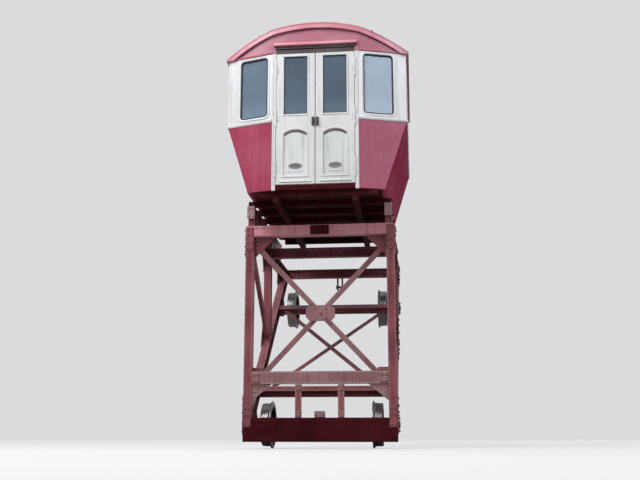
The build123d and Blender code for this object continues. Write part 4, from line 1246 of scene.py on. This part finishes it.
# Benches: slats on bearers, boards up the back
bench = {
    "slats": 5, "inner": 0.682, "outer": 1.052, "slatWide": 0.068, "gap": 0.009, "slatThick": 0.030,
    "from": -0.736, "to": 1.516, "bearers": 5, "bearerHalf": 0.025,
    "boards": (0.645, 0.782, 0.919), "boardWide": 0.122, "boardsFrom": -0.90, "boardsTo": 1.68,
    "boardDeep": (-0.060, -0.041),
}
benchLow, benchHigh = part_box("bench_seats")
shape = bmesh.new()
for side in sides:
    seatTop = side @ lyingAt(benchHigh.z)
    for step in range(bench["slats"]):
        x = bench["inner"] + step * (bench["slatWide"] + bench["gap"])
        slat = boxOutline(x, bench["from"], x + bench["slatWide"], bench["to"])
        addPlate(shape, slat, -bench["slatThick"], -0.0005, seatTop, 0.005)
    for y in spread(bench["from"] + 0.06, bench["to"] - 0.06, bench["bearers"]):
        near, far = y - bench["bearerHalf"], y + bench["bearerHalf"]
        bearer = boxOutline(bench["inner"] + 0.01, near, bench["outer"], far)
        addPlate(shape, bearer, benchLow.z - benchHigh.z + 0.001, -bench["slatThick"] + 0.002, seatTop)
benches = makePiece("benchSlats", shape, "bench_wood")
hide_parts("bench_seats")
shape = bmesh.new()
for side in sides:
    for low in bench["boards"]:
        board = boxOutline(bench["boardsFrom"], low, bench["boardsTo"], low + bench["boardWide"])
        addPlate(shape, board, *bench["boardDeep"], side @ tub)
makePiece("backBoards", shape, "bench_wood")
print("cabin dressed")

# Front frame: bolted cover plates at the ends of the posts
frameFace = facingDownhill(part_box("front_posts")[0].y)
coverPlates = [
    {
        "outline": boxOutline(0.966, 2.700, 1.074, 3.060), "thick": 0.010,
        "bolts": grid([0.990, 1.050], [2.74, 2.83, 2.95, 3.03]),
    },
    {
        "outline": boxOutline(0.966, 0.200, 1.074, 0.500), "thick": 0.010,
        "bolts": grid([0.990, 1.050], [0.24, 0.37, 0.46]),
    },
]
shape = bmesh.new()
for side in sides:
    for look in coverPlates:
        addBolted(shape, look, side @ frameFace)
makePiece("frameCoverPlates", shape, "frame_paint", dust=0.55)

# Crossbar and dropper cleats, bright with dust, and the bolts of the knee plates
cleats = [
    {
        "outline": boxOutline(0.842, 0.808, 0.955, 0.952), "thick": 0.012, "chamfer": 0.003,
        "bolts": grid([0.870, 0.928], [0.835, 0.925]),
    },
    {
        "outline": boxOutline(0.262, 0.335, 0.338, 0.425),
        "bolts": grid([0.280, 0.320], [0.360, 0.400]), "scale": 0.55,
    },
    {
        "outline": boxOutline(0.262, 0.700, 0.338, 0.785),
        "bolts": grid([0.280, 0.320], [0.722, 0.762]), "scale": 0.55,
    },
]
kneeBolts = [(0.930, 0.760), (0.860, 0.760), (0.790, 0.760), (0.930, 0.690), (0.930, 0.620)]
kneeFace = facingDownhill(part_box("knee_plates")[0].y)
shape = bmesh.new()
for side in sides:
    for look in cleats:
        addBolted(shape, look, side @ frameFace)
    addBolts(shape, side @ kneeFace, kneeBolts, scale=0.7)
makePiece("crossbarCleats", shape, "frame_paint", "dusty_rose", dust=0.8)

# Top beam: flange angles with rivets, bright pink with painted light, and the splice, dark with painted shade
topBeam = {
    "angles": (2.925, 3.035), "from": 0.134, "to": 0.962, "tall": 0.040, "thick": 0.007,
    "rivets": spread(0.18, 0.93, 8), "rivet": 0.010,
}
shape = bmesh.new()
for side in sides:
    for low in topBeam["angles"]:
        angle = boxOutline(topBeam["from"], low, topBeam["to"], low + topBeam["tall"])
        addPlate(shape, angle, -0.002, topBeam["thick"], side @ frameFace, 0.002)
        spots = grid(topBeam["rivets"], [low + topBeam["tall"] / 2])
        addRivets(shape, side @ frameFace, spots, topBeam["thick"], topBeam["rivet"])
makePiece("topBeamAngles", shape, "frame_paint", "lit_beam_rose", dust=0.70)
# The splice plate is dark with painted shade
splice = {
    "outline": boxOutline(-0.134, 2.932, 0.134, 3.068), "sunk": -0.006, "thick": 0.005,
    "bolts": grid([-0.100, -0.035, 0.035, 0.100], [2.962, 3.038]), "scale": 0.75,
}
shape = bmesh.new()
addBolted(shape, splice, facingDownhill(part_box("top_cross_beam")[0].y))
makePiece("splicePlate", shape, "frame_paint", "shade_maroon", dust=0.10)

# Bottom beam: riveted angles along its edges and stiffeners between them, nearly black with painted shade
bottomBeam = {
    "angles": (0.004, 0.272), "half": 0.962, "tall": 0.054, "thick": 0.008,
    "rivets": spread(0.06, 0.93, 9), "rivet": 0.011,
    "ribs": (0.32, 0.64), "ribHalf": 0.030, "ribFrom": 0.060, "ribTo": 0.270,
    "ribRivets": spread(0.09, 0.24, 4), "ribRivet": 0.009,
}
thick = bottomBeam["thick"]
shape = bmesh.new()
for low in bottomBeam["angles"]:
    angle = boxOutline(-bottomBeam["half"], low, bottomBeam["half"], low + bottomBeam["tall"])
    addPlate(shape, angle, -0.002, thick, frameFace, 0.002)
for side in sides:
    for low in bottomBeam["angles"]:
        spots = grid(bottomBeam["rivets"], [low + bottomBeam["tall"] / 2])
        addRivets(shape, side @ frameFace, spots, thick, bottomBeam["rivet"])
    for x in bottomBeam["ribs"]:
        half = bottomBeam["ribHalf"]
        rib = boxOutline(x - half, bottomBeam["ribFrom"], x + half, bottomBeam["ribTo"])
        addPlate(shape, rib, -0.002, thick, side @ frameFace, 0.002)
        addRivets(shape, side @ frameFace, grid([x], bottomBeam["ribRivets"]), thick, bottomBeam["ribRivet"])
makePiece("bottomBeamAngles", shape, "frame_paint", "shade_maroon", dust=0.16)
stopPlate = {
    "outline": boxOutline(-0.068, 0.336, 0.068, 0.414), "thick": 0.010, "chamfer": 0.003,
    "bolts": grid([-0.045, 0.045], [0.375]), "scale": 0.7,
}
shape = bmesh.new()
addBolted(shape, stopPlate, frameFace)
makePiece("stopPlate", shape, "frame_paint", "dusty_rose", dust=0.8)

# Bracing: bolts through the gussets along both bars, and at the posts and beam
braceBolts = {
    "middle": 1.800,
    "fall": (2.70 - 0.90) / 1.92,  # of each bar, for its run across
    "along": (0.075, 0.140),
    "corners": [
        (0.938, 2.700), (0.902, 2.702), (0.935, 2.765), (0.935, 2.830), (0.935, 2.892), (0.865, 2.892),
        (0.795, 2.892), (0.730, 2.894), (0.938, 0.995), (0.850, 0.995), (0.895, 0.995),
    ],
}
gussetFace = facingDownhill(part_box("brace_gussets")[0].y)
barBolts = [
    (x, braceBolts["middle"] + turn * x * braceBolts["fall"]) for x in braceBolts["along"] for turn in (-1, 1)
]
shape = bmesh.new()
for side in sides:
    addBolts(shape, side @ gussetFace, barBolts, scale=0.8)
    addBolts(shape, side @ gussetFace, braceBolts["corners"], scale=0.75)
addBolts(shape, gussetFace, [(0, braceBolts["middle"])], scale=1.1)
makePiece("braceBolts", shape, "frame_paint", "dusty_rose", dust=0.60)

# Side joints: plates over the meetings of chords, posts and diagonals, their outlines in (y, z)
sideJoints = [
    {
        "outline": [(-0.654, 2.620), (-0.546, 2.620), (-0.300, 2.926), (-0.300, 3.074), (-0.654, 3.074)],
        "bolts": [
            (-0.62, 2.67), (-0.58, 2.67), (-0.62, 2.78), (-0.58, 2.78), (-0.61, 2.90), (-0.61, 3.02),
            (-0.49, 3.02), (-0.41, 3.02), (-0.34, 3.02), (-0.40, 2.95),
        ],
    },
    {
        "outline": [
            (-0.654, 0.100), (-0.560, 0.100), (-0.340, 0.330), (-0.340, 0.560), (-0.546, 0.640),
            (-0.654, 0.640),
        ],
        "bolts": [
            (-0.60, 0.15), (-0.60, 0.25), (-0.62, 0.40), (-0.57, 0.40), (-0.60, 0.50), (-0.60, 0.59),
            (-0.46, 0.36), (-0.41, 0.49), (-0.38, 0.41),
        ],
    },
    {
        "outline": [
            (0.946, 2.680), (1.054, 2.680), (1.180, 2.926), (1.180, 3.074), (0.820, 3.074), (0.820, 2.926),
        ],
        "bolts": [
            (0.98, 2.72), (1.02, 2.72), (0.98, 2.82), (1.02, 2.82), (0.87, 3.00), (0.95, 3.00), (1.05, 3.00),
            (1.13, 3.00),
        ],
    },
    {
        "outline": [
            (0.800, 1.225), (1.200, 1.537), (1.200, 1.762), (1.054, 1.930), (0.946, 1.930), (0.800, 1.560),
        ],
        "bolts": [
            (0.86, 1.34), (0.94, 1.41), (1.06, 1.50), (1.14, 1.57), (0.86, 1.50), (1.14, 1.70), (0.98, 1.80),
            (1.02, 1.80), (0.98, 1.89), (1.02, 1.89),
        ],
    },
    {
        "outline": [(2.400, 2.730), (2.690, 2.700), (2.984, 2.926), (2.984, 3.074), (2.400, 3.074)],
        "bolts": [
            (2.46, 2.80), (2.56, 2.80), (2.46, 3.02), (2.58, 3.02), (2.70, 3.02), (2.82, 3.02), (2.93, 3.02),
            (2.70, 2.77), (2.80, 2.86), (2.90, 2.94),
        ],
    },
]
sideFace = facingRight(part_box("top_chords")[1].x)
shape = bmesh.new()
for side in sides:
    for look in sideJoints:
        addBolted(shape, look, side @ sideFace)
makePiece("sideJointPlates", shape, "frame_paint", dust=0.45)

# Stiffeners between the flanges of the chords, in the pockets on both sides of the web
slope = math.atan(0.78)
alongSlope, offSlope = (0, math.cos(slope), math.sin(slope)), (0, -math.sin(slope), math.cos(slope))
onSlope = seat((0, 0, 0), alongSlope, offSlope)
stiffeners = {
    "half": 0.005, "reach": 0.046, "webOut": 1.027, "webIn": 1.013,
    "chords": [
        {"place": facingRight(0), "stations": spread(-0.22, 2.52, 8), "low": 2.937, "high": 3.063},
        {"place": onSlope, "stations": spread(0.42, 3.72, 9), "low": 0.477, "high": 0.643},
    ],
}
half, reach, webOut, webIn = [stiffeners[name] for name in ("half", "reach", "webOut", "webIn")]
shape = bmesh.new()
for side in sides:
    for chord in stiffeners["chords"]:
        for station in chord["stations"]:
            rib = boxOutline(station - half, chord["low"], station + half, chord["high"])
            addPlate(shape, rib, webOut, webOut + reach, side @ chord["place"])
            addPlate(shape, rib, webIn - reach, webIn, side @ chord["place"])
makePiece("chordStiffeners", shape, "frame_paint", dust=0.30)


# Cross members: cleats at both ends of each web and ribs along it, from a place in the middle of the beam
def beamFaces(y, z, up):
    return [seat((0, y, z), (across, 0, 0), up) for across in (1, -1)]


lowerTie, upperTie = [onSlope @ Vector((station, 0.560, 0)) for station in (0.450, 2.850)]
crossMembers = [
    {"faces": beamFaces(1.000, 3.000, (0, 0, 1)), "half": 0.064, "ribs": (-0.45, 0.0, 0.45)},
    {"faces": beamFaces(2.936, 3.000, (0, 0, 1)), "half": 0.064, "ribs": (-0.45, 0.0, 0.45)},
    {"faces": beamFaces(lowerTie.y, lowerTie.z, offSlope)[:1], "half": 0.044, "ribs": (-0.35, 0.35)},
    {"faces": beamFaces(upperTie.y, upperTie.z, offSlope)[1:], "half": 0.044, "ribs": (-0.35, 0.35)},
]
webTrim = {
    "rib": 0.005, "ribDeep": (0.006, 0.056),
    "cleat": (0.858, 0.952), "cleatIn": 0.010, "bolts": 0.905, "boltGap": 0.024,
}
shape = bmesh.new()
for look in crossMembers:
    half = look["half"]
    cleatHalf = half - webTrim["cleatIn"]
    for face in look["faces"]:
        for x in look["ribs"]:
            rib = boxOutline(x - webTrim["rib"], -half, x + webTrim["rib"], half)
            addPlate(shape, rib, *webTrim["ribDeep"], face)
        for turn in (1, -1):
            near, far = sorted(turn * x for x in webTrim["cleat"])
            x, gap = turn * webTrim["bolts"], webTrim["boltGap"]
            cleat = {
                "outline": boxOutline(near, -cleatHalf, far, cleatHalf), "sunk": 0.005, "thick": 0.017,
                "bolts": grid([x - gap, x + gap], [-half * 0.5, half * 0.5]), "scale": 0.7,
            }
            addBolted(shape, cleat, face)
makePiece("crossMemberCleats", shape, "frame_paint", dust=0.35)

# Plan bracing: bolts at the ends and through the crossing, where one bar lies on the other
planBolts = {
    "from": 0.457, "to": 2.843, "shares": (0.035, 0.065, 0.485, 0.515, 0.935, 0.965),
    "reach": 0.870, "up": 0.560, "lap": 0.015, "scale": 0.7,
}
shape = bmesh.new()
for bar in (1, -1):
    for share in planBolts["shares"]:
        along = planBolts["from"] + (planBolts["to"] - planBolts["from"]) * share
        x = bar * planBolts["reach"] * (2 * share - 1)
        crossing = abs(share - 0.5) <= 0.1
        for face in (1, -1):                # above, then below
            if crossing and bar == face:
                continue                     # this face lies against the other bar
            level = planBolts["up"] - bar * planBolts["lap"] * (bar != face)
            spot = shifted(onSlope, along, level, x) @ Matrix.Rotation(-face * math.pi / 2, 4, "X")
            addBolt(shape, spot, planBolts["scale"])
makePiece("planBraceBolts", shape, "frame_paint", dust=0.40)

# Axle boxes: bolted covers with a boss
axleCover = {
    "outline": roundedOutline(-0.084, -0.084, 0.084, 0.084, 0.022), "thick": 0.012, "chamfer": 0.003,
    "bolts": grid([-0.062, 0.062], [-0.062, 0.062]),
    "boss": [(0.052, 0.010), (0.052, 0.020), (0.046, 0.026), (0.018, 0.028), (0.014, 0.022), (0.0, 0.022)],
    "stations": (0.0, 3.300),
    "above": 0.305,
}
shape = bmesh.new()
for side in sides:
    for station in axleCover["stations"]:
        place = shifted(side @ onSlope, station, axleCover["above"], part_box("axle_boxes")[1].x)
        addTurned(shape, axleCover["boss"], place, 28)
        addBolted(shape, axleCover, place)
makePiece("axleBoxCovers", shape, "box_iron", dust=0.2)

# Rope anchor: its empty pin, with a head and a collar
ropePin = {
    "spot": (0.0, 2.9357, 2.750),
    "pin": [
        (0.028, -0.074), (0.031, -0.070), (0.031, -0.058), (0.0205, -0.057), (0.0205, 0.078), (0.0165, 0.082),
        (0, 0.082),
    ],
    "collar": [(0.023, 0.058), (0.030, 0.058), (0.030, 0.068), (0.023, 0.068)],
}
shape = bmesh.new()
for profile in (ropePin["pin"], ropePin["collar"]):
    addTurned(shape, profile, seat(ropePin["spot"], (0, 1, 0), (0, 0, 1)), 20)
makePiece("ropePin", shape, "frame_paint", "bright_steel")

# Bearers: pale end plates, straps over the packing, cleats to the joists
bearerEnd = {
    "outline": boxOutline(0.944, 3.176, 1.056, 3.364), "sunk": -0.001, "thick": 0.008,
    "bolts": grid([0.972, 1.028], [3.215, 3.325]), "scale": 0.7,
}
bearerNear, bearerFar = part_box("bearers")
shape = bmesh.new()
for side in sides:
    for face in (facingDownhill(bearerNear.y), seat((0, bearerFar.y, 0), (-1, 0, 0), (0, 0, 1))):
        addBolted(shape, bearerEnd, side @ face)
makePiece("bearerEndPlates", shape, "underfloor_paint", "bearer_pale", dust=0.8)
strap = {
    "outline": boxOutline(-0.032, 3.086, 0.032, 3.352), "sunk": -0.001, "thick": 0.006,
    "bolts": grid([0.0], [3.115, 3.220, 3.315]), "stations": spread(-0.55, 1.85, 4),
}
joistCleat = {
    "outline": boxOutline(0.965, 3.362, 1.035, 3.430), "sunk": -0.001, "thick": 0.007,
    "bolts": [(1.0, 3.398)], "scale": 0.7,
}
joistHalf = 0.040
joistIn = 0.61667                  # the end joists' distance from the ends of the cabin
shape = bmesh.new()
for side in sides:
    for y in strap["stations"]:
        addBolted(shape, strap, shifted(side @ facingRight(bearerFar.x), y, 0))
    for y in spread(cabin["front"] + joistIn, cabin["back"] - joistIn, 5):
        addBolted(shape, joistCleat, side @ facingDownhill(y - joistHalf))
makePiece("bearerStraps", shape, "underfloor_paint", dust=0.25)
print("underframe dressed")


# Floor, light and camera
studio = {
    "floor": cadBox[0].z,
    "floorHalf": 60,
    "floorTone": (0.36, 0.36, 0.358),
    "floorRough": 0.9,
    "floorGlow": (0.480, 0.486, 0.490),      # the camera alone sees it: the floor is as pale as the backdrop
    "backdrop": 0.72,              # the pale world that the camera and the gloss see
    "ambient": 0.62,               # the same world as a light
    "sky": (0.98, 0.99, 1.0),
    "lampAim": (0.0, 0.0, 3.6),
    "aim": (0.0, -0.60, 2.86),
    "azimuth": 6.0,
    "distance": 12.6,
    "eye": 0.16,                   # above the floor
    "lens": 50.0,
}
white, coolWhite, skyBlue = (1.0, 1.0, 1.0), (0.84, 0.90, 1.0), (0.75, 0.82, 1.0)
lamps = {
    "key": {"spot": (-5.5, -8.5, 13.0), "wide": 6.0, "tall": 6.0, "power": 1330, "colour": white},
    "fill": {"spot": (6.14, -8.79, 8.84), "wide": 3.4, "tall": 3.4, "power": 36, "colour": coolWhite},
    "card": {"spot": (5.30, -8.05, 7.46), "wide": 2.0, "tall": 3.8, "power": 225, "colour": skyBlue},
}


def makeFloor():
    shape = bmesh.new()
    half = studio["floorHalf"]
    addPlate(shape, boxOutline(-half, -half, half, half), -0.05, 0.0, lyingAt(studio["floor"]))
    data = bpy.data.meshes.new("studioFloor")
    shape.to_mesh(data)
    shape.free()
    floor = newFinish("studioFloor")
    seen = floor.node("ShaderNodeLightPath", {}, {}, "Is Camera Ray")
    glow = floor.mix((0.0, 0.0, 0.0), studio["floorGlow"], seen)
    floor.surface({
        "Base Color": studio["floorTone"], "Roughness": studio["floorRough"],
        "Emission Color": glow, "Emission Strength": 1.0,
    })
    data.materials.append(floor.owner)
    ground = bpy.data.objects.new("studioFloor", data)
    bpy.context.scene.collection.objects.link(ground)


def makeWorld():
    world = bpy.data.worlds.new("studioLight")
    bpy.context.scene.world = world
    sky = Finish(world)
    kinds = ("Is Camera Ray", "Is Glossy Ray", "Is Transmission Ray")
    rays = [sky.node("ShaderNodeLightPath", {}, {}, kind) for kind in kinds]
    shown = (rays[0] + rays[1] + rays[2]).band(0.0, 1.0)
    strength = studio["ambient"] + (studio["backdrop"] - studio["ambient"]) * shown
    light = sky.node("ShaderNodeBackground", {}, {"Color": studio["sky"], "Strength": strength})
    sky.node("ShaderNodeOutputWorld", {}, {"Surface": light})


def turnedTo(thing, aim):
    thing.rotation_euler = (Vector(aim) - thing.location).to_track_quat("-Z", "Y").to_euler()
    bpy.context.scene.collection.objects.link(thing)


def makeLamp(name, look):
    light = bpy.data.lights.new(name, "AREA")
    light.shape = "RECTANGLE"
    light.size, light.size_y = look["wide"], look["tall"]
    light.energy = look["power"]
    light.color = look["colour"]
    lamp = bpy.data.objects.new(name, light)
    lamp.location = look["spot"]
    lamp.visible_diffuse = name != "card"      # the card only shows as a reflection in glass and gloss
    lamp.visible_camera = False
    turnedTo(lamp, studio["lampAim"])


def makeCamera():
    lens = bpy.data.cameras.new("camera")
    lens.lens = studio["lens"]
    lens.sensor_width = 36.0
    camera = bpy.data.objects.new("camera", lens)
    turn = math.radians(studio["azimuth"])
    x, y, z = studio["aim"]
    away = studio["distance"]
    camera.location = (x + away * math.sin(turn), y - away * math.cos(turn), studio["floor"] + studio["eye"])
    turnedTo(camera, studio["aim"])
    bpy.context.scene.camera = camera


makeFloor()
makeWorld()
for name, look in lamps.items():
    makeLamp(name, look)
makeCamera()
bpy.context.scene.view_settings.view_transform = "Standard"
print("studio made")
